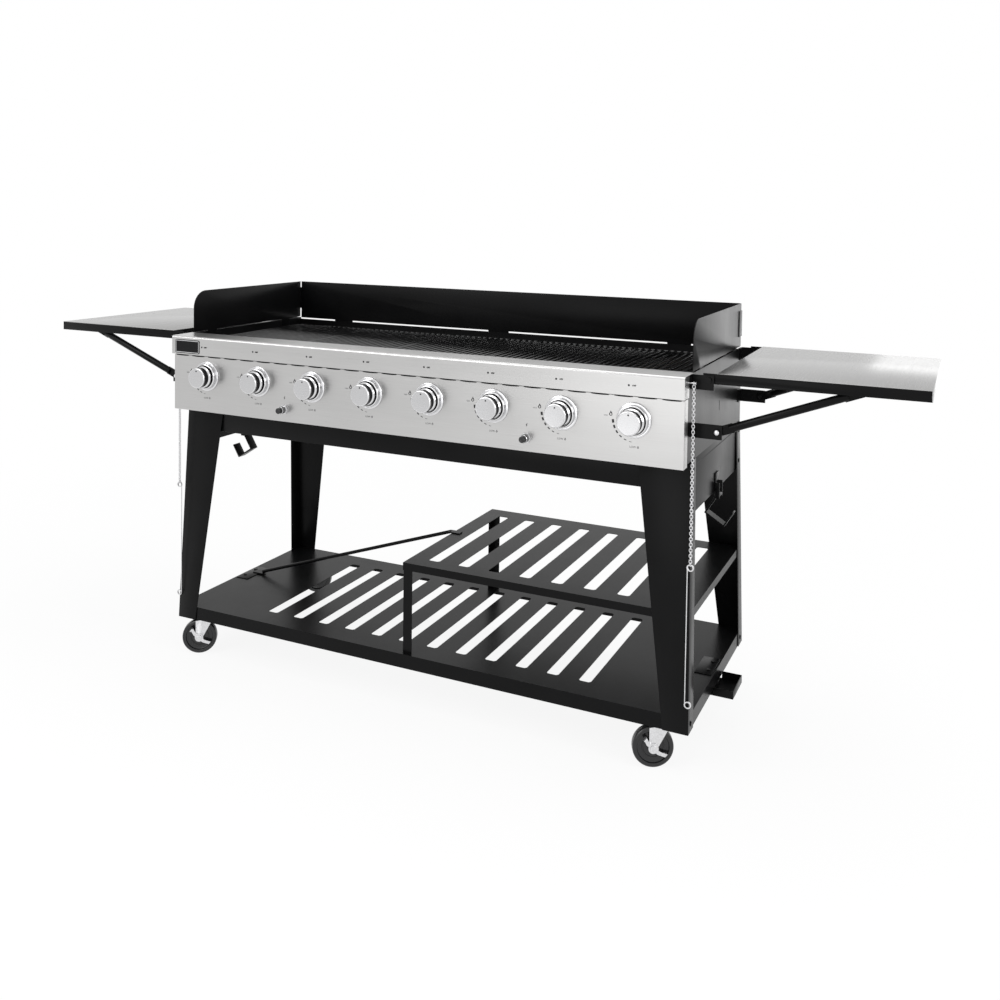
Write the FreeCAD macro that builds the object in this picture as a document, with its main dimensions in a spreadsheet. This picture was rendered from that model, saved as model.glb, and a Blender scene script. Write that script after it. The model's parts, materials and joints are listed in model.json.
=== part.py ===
import FreeCAD, Part
import math
import os
from types import SimpleNamespace

import Sketcher
from FreeCAD import Placement, Rotation, Vector

# Driving dimensions in millimetres: name, size, what it is
DIMENSIONS = (
    ("sheet", 1.5, "black sheet metal"),
    ("skin", 1.0, "stainless sheet metal"),
    ("play", 0.4, "gap between pieces that move past each other"),
    ("fit", 0.05, "radial clearance of a pin that turns in its hole"),
    ("body_half_width", 748, "middle to the outside of a firebox side wall"),
    ("cook_top", 936, "floor to the top of the front trim"),
    ("front_wall", 72, "panel face to the firebox front wall"),
    ("back_rim_drop", 6, "back wall below the front trim"),
    ("ledge", 14, "width of the ledges inside the firebox"),
    ("trim_height", 52, "front trim, top to bottom"),
    ("trim_proud", 9, "front trim in front of the panel"),
    ("trim_overhang", 2, "front trim past the firebox side"),
    ("trim_round", 6, "radius of the trim's top edge"),
    ("seam", 3, "gap between trim and panel"),
    ("panel_height", 157.5, "control panel, top to bottom"),
    ("panel_return", 31, "depth of the panel's folded ends"),
    ("knob_pitch", 180, "distance between burner knobs"),
    ("knob_drop", 55, "knob axis below the panel's top edge"),
    ("knob_reach", 45, "knob face in front of the panel"),
    ("knob_cap", 11, "depth of the knob's bright cap"),
    ("knob_cap_radius", 30, "knob cap"),
    ("knob_edge", 2, "bevel of the knob cap"),
    ("knob_waist_radius", 27, "knob waist"),
    ("knob_base", 3.5, "depth of the knob's base ring"),
    ("knob_base_radius", 31, "knob base ring"),
    ("bezel_radius", 42, "bezel flange"),
    ("bezel_lip", 3.5, "depth of the bezel flange"),
    ("bezel_collar_radius", 35, "bezel collar"),
    ("bezel_height", 13, "bezel collar in front of the panel"),
    ("bezel_bevel", 2, "slope of the bezel's edges"),
    ("stem_radius", 4, "valve stem"),
    ("stem_tip", 6, "knob face to the end of the valve stem"),
    ("stem_hole", 9, "radius of the panel's hole for a stem"),
    ("igniter_drop", 124, "igniter axis below the panel's top edge"),
    ("igniter_collar", 6, "depth of the igniter's collar"),
    ("igniter_collar_radius", 13, "igniter collar"),
    ("igniter_barrel", 20, "igniter barrel in front of the panel"),
    ("igniter_barrel_radius", 10, "igniter barrel"),
    ("igniter_depth", 40, "igniter body behind the panel face"),
    ("button_radius", 8, "igniter button"),
    ("button_reach", 30, "button face in front of the panel"),
    ("button_length", 22, "igniter button, end to end"),
    ("button_travel", 8, "igniter button's stroke"),
    ("manifold_radius", 9, "gas manifold pipe"),
    ("manifold_behind", 56, "panel face to the manifold's axis"),
    ("manifold_half", 712, "middle to the manifold's closed ends"),
    ("inlet_radius", 7, "gas inlet pipe"),
    ("inlet_side", 700, "middle to the gas inlet"),
    ("inlet_height", 757, "floor to the gas inlet's axis"),
    ("inlet_elbow", 18, "gas inlet's elbow"),
    ("nipple_radius", 6, "free end of the gas inlet"),
    ("nipple_length", 20, "free end of the gas inlet"),
    ("valve_width", 24, "gas valve body"),
    ("valve_front", 30, "panel face to the front of a valve"),
    ("valve_depth", 34, "gas valve body, front to back"),
    ("valve_above", 14, "valve body above its stem"),
    ("valve_below", 17, "valve body below its stem"),
    ("nozzle_radius", 3, "gas nozzle"),
    ("nozzle_reach", 16, "nozzle behind the valve"),
    ("burner_radius", 14, "burner tube"),
    ("burner_front", 66, "panel face to the burner tube's mouth"),
    ("tent_width", 110, "heat tent, edge to edge"),
    ("tent_height", 32, "heat tent, edge to ridge"),
    ("tent_drop", 46, "tent edges below the grate"),
    ("grate_drop", 22, "grate top below the front trim"),
    ("grate_height", 10, "depth of a grate bar"),
    ("grate_bar", 10, "width of a grate bar"),
    ("grate_frame", 14, "width of a grate's end bars"),
    ("grate_gap", 2, "gap beside and behind each grate"),
    ("guard_height", 121, "wind guard above the front trim"),
    ("guard_lift", 2, "wind guard sides above the front trim"),
    ("guard_back_gap", 4, "gap under the wind guard's back panel"),
    ("guard_round", 50, "wind guard's front corner radius"),
    ("guard_corner_gap", 2, "gap at the wind guard's back corners"),
    ("guard_tab", 70, "width of the back panel's tabs"),
    ("guard_tab_pitch", 571, "distance between the back panel's tabs"),
    ("guard_tab_depth", 24, "length of the wind guard's tabs"),
    ("guard_foot", 40, "width of the side panels' tabs"),
    ("guard_foot_inset", 60, "side panel's end to its tab"),
    ("guard_clip", 71, "height of a corner clip"),
    ("guard_clip_drop", 20, "corner clip below the wind guard's top"),
    ("guard_clip_leg", 30, "width of a corner clip's leg"),
    ("table_inner", 806, "middle to a table top's inner edge"),
    ("table_outer", 1260, "middle to a table top's outer edge"),
    ("table_front", 59, "panel face to the table's front edge"),
    ("table_depth", 541, "table top, front to back"),
    ("table_top", 940, "floor to the table top"),
    ("rim_height", 24, "table rim"),
    ("rim_sheet", 2, "thickness of a table rim"),
    ("rim_inset", 1, "table rim behind the top's edge"),
    ("rim_tail", 14, "table rim past its hinge"),
    ("hinge_side", 788, "middle to the table hinge"),
    ("hinge_drop", 16, "table hinge below the table top"),
    ("pin_radius", 4, "hinge pins"),
    ("pin_head_radius", 7, "heads of the hinge pins"),
    ("pin_head", 4, "thickness of a pin's head"),
    ("bracket_sheet", 3, "thickness of the brackets"),
    ("bracket_height", 34, "height of the table brackets"),
    ("bracket_flange", 26, "width of a bracket's flange on the wall"),
    ("bracket_grip", 19, "least length of a bracket's flange on the wall"),
    ("bracket_margin", 12, "bracket past its pin"),
    ("strut_radius", 9.5, "strut tube"),
    ("strut_wall", 1.5, "wall of the strut tube"),
    ("strut_gap", 3, "strut tube beside the table's rim"),
    ("strut_foot_side", 806, "middle to the strut's lower pin"),
    ("strut_foot_height", 803, "floor to the strut's lower pin"),
    ("strut_head_side", 1119, "middle to the strut's upper pin"),
    ("strut_head_height", 922, "floor to the strut's upper pin"),
    ("strut_eye", 22, "width of the strut's flattened ends"),
    ("strut_eye_sheet", 5, "thickness of the flattened ends"),
    ("strut_eye_length", 40, "length of the flattened ends"),
    ("strut_overlap", 10, "flattened end inside the tube"),
    ("apron_top", 730, "floor to the top of the aprons"),
    ("side_apron_bottom", 600, "floor to the side aprons"),
    ("front_apron_bottom", 656, "floor to the front apron"),
    ("rear_apron_bottom", 700, "floor to the rear apron"),
    ("leg_sheet", 2, "thickness of a leg"),
    ("leg_front", 61, "panel face to the tops of the front legs"),
    ("frame_depth", 530, "front legs to rear legs, outsides, at the top"),
    ("body_overhang", 5, "back of the firebox behind the tops of the rear legs"),
    ("leg_lean", 28, "a leg's foot in front of or behind its top"),
    ("leg_spread", 13, "a leg's foot outside its top"),
    ("leg_flange", 45, "width of a leg's side flange"),
    ("leg_head", 129, "width of a leg at the top"),
    ("leg_foot", 62, "width of a leg at the bottom"),
    ("leg_bottom", 100, "floor to the bottom of the legs"),
    ("shelf_top", 137, "floor to the bottom shelf"),
    ("slot_pitch", 87.2, "distance between shelf slots"),
    ("slot_width", 32, "shelf slot"),
    ("slot_corner", 5, "cut of a slot's corners"),
    ("slot_front", 108, "panel face to the bottom shelf's slots"),
    ("slot_length", 440, "bottom shelf's slots"),
    ("upper_left", 10, "upper shelf's left edge past the middle"),
    ("upper_depth", 542, "upper shelf, front to back"),
    ("upper_top", 377, "floor to the upper shelf"),
    ("upper_skirt", 20, "upper shelf's folded edge"),
    ("upper_slot_first", 57, "middle to the upper shelf's first slot"),
    ("upper_slot_front", 93, "panel face to the upper shelf's slots"),
    ("upper_slot_length", 440, "upper shelf's slots"),
    ("post_width", 26, "width of a shelf post"),
    ("rod_radius", 5, "tank exclusion rod"),
    ("rod_left", 700, "middle to the rod's left end"),
    ("rod_left_behind", 343, "panel face to the rod's left end"),
    ("rod_right", 7, "upper shelf's edge to the rod's right end"),
    ("rod_right_behind", 330, "panel face to the rod's right end"),
    ("rod_lift", 8, "rod axis above the bottom shelf at its left end"),
    ("rod_tab", 32, "length of the rod's end tabs"),
    ("rod_tab_width", 20, "width of the rod's end tabs"),
    ("rod_tab_sheet", 3, "thickness of the rod's end tabs"),
    ("tank_behind", 333, "panel face to the middle of a tank support"),
    ("tank_width", 104, "tank support, front to back"),
    ("tank_reach", 52, "tank support past the shelf's edge"),
    ("tank_inside", 60, "tank support under the shelf"),
    ("tank_web", 10, "tank support's web inside the shelf's edge"),
    ("tank_sheet", 2, "thickness of a tank support"),
    ("tank_lip", 18, "tank support's upturned edges"),
    ("tank_drop", 10, "bottom of the legs to the tank support's floor"),
    ("tank_plate", 43, "tank support's plate on the shelf, side to side"),
    ("tank_plate_inset", 5, "shelf's edge to that plate"),
    ("tank_bolt_inset", 18, "shelf's edge to that plate's bolts"),
    ("hook_behind", 325, "panel face to the middle of a tank hook"),
    ("hook_width", 30, "tank hook, front to back"),
    ("hook_sheet", 4, "thickness of a tank hook"),
    ("hook_arm", 57, "tank hook's inner arm"),
    ("hook_span", 60, "tank hook's lower bar"),
    ("hook_prong", 44, "tank hook's outer arm"),
    ("hook_eye_radius", 7, "tank hook's eye"),
    ("hook_out", 6, "hook pin outside the side apron"),
    ("hook_drop", 10, "hook pin below the side apron"),
    ("hook_plate", 46, "height of the hook's bracket on the apron"),
    ("chain_out", 12, "match chain outside the firebox side"),
    ("chain_behind", 33, "panel face to the match chain"),
    ("chain_drop", 18, "chain's pin below the front trim"),
    ("chain_length", 418, "match chain, pin to rod"),
    ("link_length", 6.8, "inner length of a chain link"),
    ("link_width", 4.4, "inner width of a chain link"),
    ("wire", 1.9, "diameter of the chain's wire"),
    ("link_slack", 0.3, "slack between chain links"),
    ("rod_wire", 2.4, "diameter of the match rod"),
    ("match_rod", 320, "match rod, eye to eye"),
    ("rod_eye_radius", 7, "middle radius of the match rod's eyes"),
    ("rod_eye_width", 2.7, "thickness of the match rod's eyes"),
    ("rod_eye_rise", 0.9, "match rod's eye above the foot of the last link"),
    ("eye_pin_radius", 1.6, "pin that carries a match chain"),
    ("eye_pin_head", 4, "radius of that pin's head"),
    ("tray_front", 78, "panel face to the grease tray"),
    ("tray_tail", 8, "grease tray behind the firebox"),
    ("tray_bottom", 734, "floor to the top of the tray's rails"),
    ("tray_height", 22, "grease tray's sides"),
    ("tray_gap", 3, "gap beside the grease tray"),
    ("rail_width", 26, "width of the tray's rails"),
    ("handle_width", 120, "grease tray's handle"),
    ("handle_reach", 12, "handle behind the grease tray"),
    ("caster_side", 686, "middle to a caster's swivel axis"),
    ("caster_inset", 25, "feet of the legs to a caster's swivel axis"),
    ("caster_plate", 62, "caster plate, side to side"),
    ("caster_plate_depth", 38, "caster plate, front to back"),
    ("caster_sheet", 2.5, "thickness of caster plate and fork"),
    ("crown_radius", 18, "caster's swivel head"),
    ("crown_height", 16, "caster's swivel head"),
    ("kingpin_radius", 5, "caster's kingpin"),
    ("kingpin_head_radius", 7, "caster's kingpin head"),
    ("wheel_radius", 49, "caster wheel"),
    ("wheel_width", 24, "caster wheel's tread"),
    ("wheel_edge", 4, "bevel of the tread"),
    ("wheel_rim", 38, "radius of the wheel's recess"),
    ("wheel_recess", 5, "depth of the wheel's recess"),
    ("hub_radius", 14, "wheel hub"),
    ("axle_radius", 5, "caster axle"),
    ("axle_head_radius", 8, "caster axle's heads"),
    ("fork_gap", 1.5, "gap between wheel and fork"),
    ("fork_foot", 10, "half width of a fork leg at the axle"),
    ("fork_flare", 22, "fork leg in front of its swivel axis"),
    ("trail", 14, "caster axle behind its swivel axis"),
    ("pedal_reach", 34, "brake pedal, axle to toe"),
    ("pedal_width", 9, "width of the brake lever"),
    ("pedal_pad", 12, "brake pedal's toe, inside to outside"),
    ("pedal_bend", 7, "ends of the brake lever above its middle"),
    ("bolt_radius", 5.5, "bolt heads, across corners"),
    ("bolt_head", 4, "thickness of bolt heads"),
)

KNOBS = 8
GRATES = 5
GRATE_BARS = 16
SHELF_SLOTS = 12
UPPER_SLOTS = 8
BACK_TABS = (-1, 0, 1)
IGNITER_STEPS = 2
HOOK_TILT = 32
PEDAL_SLOPE = 40
SIDES = {"left": -1, "right": 1}
ENDS = {"front": -1, "rear": 1}

# Each caster: side, end, the way its wheel trails in degrees, the side of its brake pedal
CASTERS = {
    "front_left": (-1, -1, 212, 1),
    "front_right": (1, -1, 205, 1),
    "rear_left": (-1, 1, 20, 0),
    "rear_right": (1, 1, 160, 0),
}


class Size:
    """A size in millimetres that also carries the sheet formula it comes from."""

    def __init__(self, value, formula):
        self.value = value
        self.formula = formula

    def __float__(self):
        return self.value

    def __add__(self, other):
        other = as_size(other)
        return Size(self.value + other.value, f"({self.formula} + {other.formula})")

    def __sub__(self, other):
        other = as_size(other)
        return Size(self.value - other.value, f"({self.formula} - {other.formula})")

    def __rsub__(self, other):
        return as_size(other) - self

    def __mul__(self, other):
        other = as_size(other)
        return Size(self.value * other.value, f"({self.formula} * {other.formula})")

    def __truediv__(self, other):
        other = as_size(other)
        return Size(self.value / other.value, f"({self.formula} / {other.formula})")

    def __neg__(self):
        return Size(-self.value, f"(0 - {self.formula})")

    __radd__ = __add__
    __rmul__ = __mul__


def as_size(number):
    """A plain number as a size."""
    return number if isinstance(number, Size) else Size(float(number), repr(float(number)))


def fill_sheet(doc):
    """Write the driving dimensions to the sheet and give them back as named sizes."""
    table = doc.addObject("Spreadsheet::Sheet", "Dims")
    for row, (name, size, words) in enumerate(DIMENSIONS, 1):
        table.set(f"A{row}", words)
        table.set(f"B{row}", str(size))
        table.setAlias(f"B{row}", name)
    doc.recompute()
    return SimpleNamespace(
        **{name: Size(float(table.get(name)), f"Dims.{name}") for name, _, _ in DIMENSIONS}
    )


doc = FreeCAD.newDocument("GasGrill")
d = fill_sheet(doc)
sub_parts = []

# Places worked out from the driving dimensions, with Y measured from the panel face
table_middle = d.table_front + d.table_depth / 2
rim_offset = d.table_depth / 2 - d.rim_inset - d.rim_sheet
strut_offset = rim_offset - d.strut_gap - d.strut_radius
frame_middle = d.leg_front + d.frame_depth / 2
body_back = d.leg_front + d.frame_depth + d.body_overhang
caster_offset = d.frame_depth / 2 + d.leg_lean - d.caster_inset
rear_turn = math.radians(CASTERS["rear_left"][2])
rear_wheel = (d.trail + d.wheel_radius - d.wheel_edge) * math.sin(rear_turn)
back_reach = frame_middle + caster_offset + rear_wheel + d.wheel_width / 2 * math.cos(rear_turn)
face = (d.knob_reach - back_reach) / 2
inside = d.body_half_width - d.sheet
wall_top = d.cook_top - d.skin
wall_front = d.panel_return + d.sheet
trim_half = d.body_half_width + d.trim_overhang
trim_bottom = d.cook_top - d.trim_height
panel_top = trim_bottom - d.seam
panel_bottom = panel_top - d.panel_height
knob_height = panel_top - d.knob_drop
igniter_height = panel_top - d.igniter_drop
fire_front = d.front_wall + d.sheet
fire_back = body_back - d.sheet
grate_top = d.cook_top - d.grate_drop
grate_bottom = grate_top - d.grate_height
tent_base = grate_top - d.tent_drop
guard_top = d.cook_top + d.guard_height
back_rim = d.cook_top - d.back_rim_drop
rim_top = d.table_top - d.skin
rim_bottom = rim_top - d.rim_height
hinge_height = d.table_top - d.hinge_drop
bracket_top = d.cook_top - d.skin - d.play
leg_out = d.body_half_width + d.leg_sheet
shelf_under = d.shelf_top - d.sheet
tray_floor = d.tray_bottom + d.play
tray_top = tray_floor + d.tray_height
chain_side = d.body_half_width + d.chain_out
chain_height = d.cook_top - d.chain_drop


def behind(distance):
    """The Y of a place this far behind the panel face."""
    return face + distance


def leg_share(height):
    """How far down the legs a height is: none at their tops, all at their feet."""
    return (d.apron_top - height) / (d.apron_top - d.leg_bottom)


def leg_side(height):
    """The distance from the middle to the outside of the legs at a height."""
    return leg_out + d.leg_spread * leg_share(height)


def leg_face(end, height):
    """The Y of the outside of the front or rear legs at a height."""
    return behind(frame_middle) + (d.frame_depth / 2 + d.leg_lean * leg_share(height)) * end


shelf_half = leg_side(d.shelf_top) - d.leg_sheet


def bind(thing, prop, size):
    """Tie a property to the sheet."""
    thing.setExpression(prop, as_size(size).formula)


def place(thing, x, y, z, rotation=Rotation()):
    """Stand an object at a place tied to the sheet."""
    thing.Placement = Placement(Vector(), rotation)
    for axis, size in zip("xyz", (x, y, z)):
        bind(thing, f"Placement.Base.{axis}", size)
    return thing


def smaller(first, second):
    """The smaller of two sizes."""
    return first if float(first) < float(second) else second


def across(side, inner, outer):
    """The low and high X of something between two distances from the middle."""
    return (inner, outer) if side > 0 else (-outer, -inner)


def along(end, centre, near, far):
    """The low and high Y of something between two distances from a centre, to the front or rear."""
    return (centre + near, centre + far) if end > 0 else (centre - far, centre - near)


def box(name, xs, ys, zs):
    """A block between low and high X, Y and Z."""
    block = doc.addObject("Part::Box", name)
    for prop, (low, high) in zip(("Length", "Width", "Height"), (xs, ys, zs)):
        bind(block, prop, as_size(high) - low)
    return place(block, xs[0], ys[0], zs[0])


def cylinder(name, start, axis, radius, length):
    """A round bar from a start point along an axis."""
    bar = doc.addObject("Part::Cylinder", name)
    bind(bar, "Radius", radius)
    bind(bar, "Height", length)
    return place(bar, *start, Rotation(Vector(0, 0, 1), Vector(*axis)))


def group(name, pieces):
    """Separate solids in one object."""
    compound = doc.addObject("Part::Compound", name)
    compound.Links = list(pieces)
    return compound


def cut(name, base, tools):
    """A piece with other shapes taken out of it."""
    result = doc.addObject("Part::Cut", name)
    result.Base = base
    result.Tool = tools[0] if len(tools) == 1 else group(name + "_tools", tools)
    return result


def fuse(name, pieces):
    """Several shapes joined to one solid."""
    result = doc.addObject("Part::MultiFuse", name)
    result.Shapes = list(pieces)
    result.Refine = True
    return result


def sub_part(thing, label):
    """Mark an object as one sub-part of the grill."""
    thing.Label = label
    sub_parts.append(thing)
    return thing


def base_plane(body, role):
    return next(item for item in body.Origin.OriginFeatures if item.Role == role)


def draw(sketch, points):
    """Close straight lines through points, each point tied to the sheet."""
    corners = [Vector(float(u), float(v), 0) for u, v in points]
    for start, end in zip(corners, corners[1:] + corners[:1]):
        sketch.addGeometry(Part.LineSegment(start, end))
    for i in range(len(points)):
        sketch.addConstraint(Sketcher.Constraint("Coincident", i, 2, (i + 1) % len(points), 1))
    for i, point in enumerate(points):
        for kind, size in zip(("DistanceX", "DistanceY"), point):
            index = sketch.addConstraint(Sketcher.Constraint(kind, -1, 1, i, 1, float(size)))
            bind(sketch, f"Constraints[{index}]", size)
    return sketch


def outline(body, role, points, lift=None):
    """A closed sketch of straight lines through points, on one of the body's base planes."""
    sketch = body.newObject("Sketcher::SketchObject", body.Name + "_outline")
    sketch.AttachmentSupport = (base_plane(body, role), [""])
    sketch.MapMode = "FlatFace"
    if lift is not None:
        bind(sketch, "AttachmentOffset.Base.z", lift)
    return draw(sketch, points)


def lofted(name, low, high):
    """A solid with straight sides between two level outlines, each given as its points and its height."""
    solid = doc.addObject("Part::Loft", name)
    sections = []
    for points, height in (low, high):
        sketch = doc.addObject("Sketcher::SketchObject", name + "_outline")
        sections.append(place(draw(sketch, points), 0, 0, height))
    solid.Sections = sections
    solid.Solid = True
    solid.Ruled = True
    return solid


def rectangle(xs, ys):
    return [(xs[0], ys[0]), (xs[1], ys[0]), (xs[1], ys[1]), (xs[0], ys[1])]


def feature(body, kind, name, sketch, **sizes):
    """A Pad, Pocket or Revolution made from a sketch."""
    step = body.newObject(f"PartDesign::{kind}", f"{body.Name}_{name}")
    step.Profile = sketch
    for prop, size in sizes.items():
        bind(step, prop, size)
    return step


def padded(name, role, points, length):
    """A body whose outline on a base plane is given a thickness."""
    body = doc.addObject("PartDesign::Body", name)
    feature(body, "Pad", "pad", outline(body, role, points), Length=length)
    return body


def turned(name, points):
    """A body turned about the Y axis from points of radius and Y."""
    body = doc.addObject("PartDesign::Body", name)
    sketch = outline(body, "XY_Plane", points)
    turn = feature(body, "Revolution", "turn", sketch)
    turn.ReferenceAxis = (sketch, ["V_Axis"])
    turn.Angle = 360
    return body


def rounded(name, base, radius, test):
    """A piece with the edges that pass a test rounded."""
    doc.recompute()
    result = doc.addObject("Part::Fillet", name)
    result.Base = base
    chosen = [i for i, edge in enumerate(base.Shape.Edges, 1) if test(edge.CenterOfMass)]
    result.Edges = [(i, float(radius), float(radius)) for i in chosen]
    return result


def knob_side(index):
    """The X of a burner's knob, valve and tube."""
    return d.knob_pitch * (index - (KNOBS - 1) / 2)


def make_firebox():
    """Four walls with ledges for the grates and the heat tents."""
    full = (-inside, inside)
    rise = (d.apron_top, wall_top)
    front = box("front_sheet", full, (behind(d.front_wall), behind(fire_front)), rise)
    holes = [
        cylinder(
            "burner_hole",
            (knob_side(i), behind(d.front_wall - d.sheet), knob_height),
            (0, 1, 0),
            d.burner_radius + d.play,
            d.sheet * 3,
        )
        for i in range(KNOBS)
    ]
    walls = [cut("front_wall", front, holes)]
    walls.append(
        box("back_wall", full, (behind(fire_back), behind(body_back)), (tray_top + d.tray_gap, back_rim))
    )
    inlet_hole = cylinder(
        "inlet_hole",
        (-d.body_half_width - d.sheet, behind(d.manifold_behind), d.inlet_height),
        (1, 0, 0),
        d.inlet_radius + d.play,
        d.sheet * 3,
    )
    for side in SIDES.values():
        xs = across(side, inside, d.body_half_width)
        wall = box("side_wall", xs, (behind(wall_front), behind(body_back)), rise)
        walls.append(wall if side > 0 else cut("inlet_wall", wall, [inlet_hole]))
    for top in (grate_bottom, tent_base):
        zs = (top - d.sheet, top)
        walls.append(box("front_ledge", full, (behind(fire_front), behind(fire_front + d.ledge)), zs))
        walls.append(box("back_ledge", full, (behind(fire_back - d.ledge), behind(fire_back)), zs))
    sub_part(group("walls", walls), "firebox_walls")


def make_front_trim():
    """Folded stainless strip with a rounded top edge and end returns."""
    front = behind(-d.trim_proud)
    back = behind(fire_front)

    def shell(name, half, low_y, high_z, low_z, radius):
        block = box(name + "_block", (-half, half), (low_y, back), (low_z, high_z))
        edge = Vector(0, float(low_y), float(high_z))
        return rounded(
            name,
            block,
            radius,
            lambda middle: middle.isEqual(edge, 0.01),
        )

    outer = shell("trim_outer", trim_half, front, d.cook_top, trim_bottom, d.trim_round)
    hollow = shell(
        "trim_hollow",
        trim_half - d.skin,
        front + d.skin,
        d.cook_top - d.skin,
        trim_bottom - d.skin,
        d.trim_round - d.skin,
    )
    behind_ends = box(
        "trim_behind_ends",
        (-trim_half, trim_half),
        (behind(d.panel_return), back),
        (trim_bottom - d.skin, d.cook_top - d.skin),
    )
    sub_part(cut("trim", cut("trim_shell", outer, [hollow]), [behind_ends]), "front_trim")


def make_control_panel():
    """Folded stainless panel, open at the top and back, with holes for stems and igniters."""
    half = d.body_half_width
    block = box("panel_block", (-half, half), (face, behind(d.panel_return)), (panel_bottom, panel_top))
    hollow = box(
        "panel_hollow",
        (-half + d.skin, half - d.skin),
        (behind(d.skin), behind(d.panel_return + d.skin)),
        (panel_bottom + d.skin, panel_top + d.skin),
    )

    def hole(x, height, radius):
        return cylinder("panel_hole", (x, behind(-d.skin), height), (0, 1, 0), radius, d.skin * 3)

    holes = [hole(knob_side(i), knob_height, d.stem_hole) for i in range(KNOBS)]
    for side in SIDES.values():
        x = d.knob_pitch * IGNITER_STEPS * side
        holes.append(hole(x, igniter_height, d.igniter_barrel_radius))
    sub_part(cut("panel", cut("panel_shell", block, [hollow]), holes), "control_panel")


def make_knobs():
    """Burner knobs, each turning on its valve stem."""
    back = -d.bezel_height - d.play
    neck = back - d.knob_base
    cap = -d.knob_reach + d.knob_cap
    bore = d.stem_radius + d.fit
    tip = -d.knob_reach + d.stem_tip - d.play
    for i in range(KNOBS):
        body = turned(
            f"knob_{i + 1}",
            [
                (bore, back),
                (d.knob_base_radius, back),
                (d.knob_base_radius, neck),
                (d.knob_waist_radius, neck),
                (d.knob_waist_radius, cap),
                (d.knob_cap_radius, cap),
                (d.knob_cap_radius, -d.knob_reach + d.knob_edge),
                (d.knob_cap_radius - d.knob_edge, -d.knob_reach),
                (0, -d.knob_reach),
                (0, tip),
                (bore, tip),
            ],
        )
        place(body, knob_side(i), face, knob_height)
        sub_part(body, f"burner_knob_{i + 1}")


def make_bezels_and_buttons():
    """Chrome bezels behind the knobs, the two igniter bodies and their buttons."""
    trims = []
    bore = d.stem_radius + d.play
    for i in range(KNOBS):
        body = turned(
            f"bezel_{i + 1}",
            [
                (bore, 0),
                (d.bezel_radius, 0),
                (d.bezel_radius, -d.bezel_lip + d.bezel_bevel),
                (d.bezel_radius - d.bezel_bevel, -d.bezel_lip),
                (d.bezel_collar_radius + d.bezel_bevel, -d.bezel_lip),
                (d.bezel_collar_radius, -d.bezel_height),
                (bore, -d.bezel_height),
            ],
        )
        trims.append(place(body, knob_side(i), face, knob_height))
    well = d.button_radius + d.fit
    well_end = -d.button_reach + d.button_length + d.button_travel + d.play
    for name, side in SIDES.items():
        x = d.knob_pitch * IGNITER_STEPS * side
        rear = d.igniter_barrel_radius - d.play
        body = turned(
            f"igniter_{name}",
            [
                (well, -d.igniter_barrel),
                (d.igniter_barrel_radius, -d.igniter_barrel),
                (d.igniter_barrel_radius, -d.igniter_collar),
                (d.igniter_collar_radius, -d.igniter_collar),
                (d.igniter_collar_radius, 0),
                (rear, 0),
                (rear, d.igniter_depth),
                (0, d.igniter_depth),
                (0, well_end),
                (well, well_end),
            ],
        )
        trims.append(place(body, x, face, igniter_height))
        button = cylinder(
            f"button_{name}",
            (x, behind(-d.button_reach), igniter_height),
            (0, 1, 0),
            d.button_radius,
            d.button_length,
        )
        sub_part(button, f"igniter_button_{name}")
    sub_part(group("bezels", trims), "control_bezels")


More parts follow.
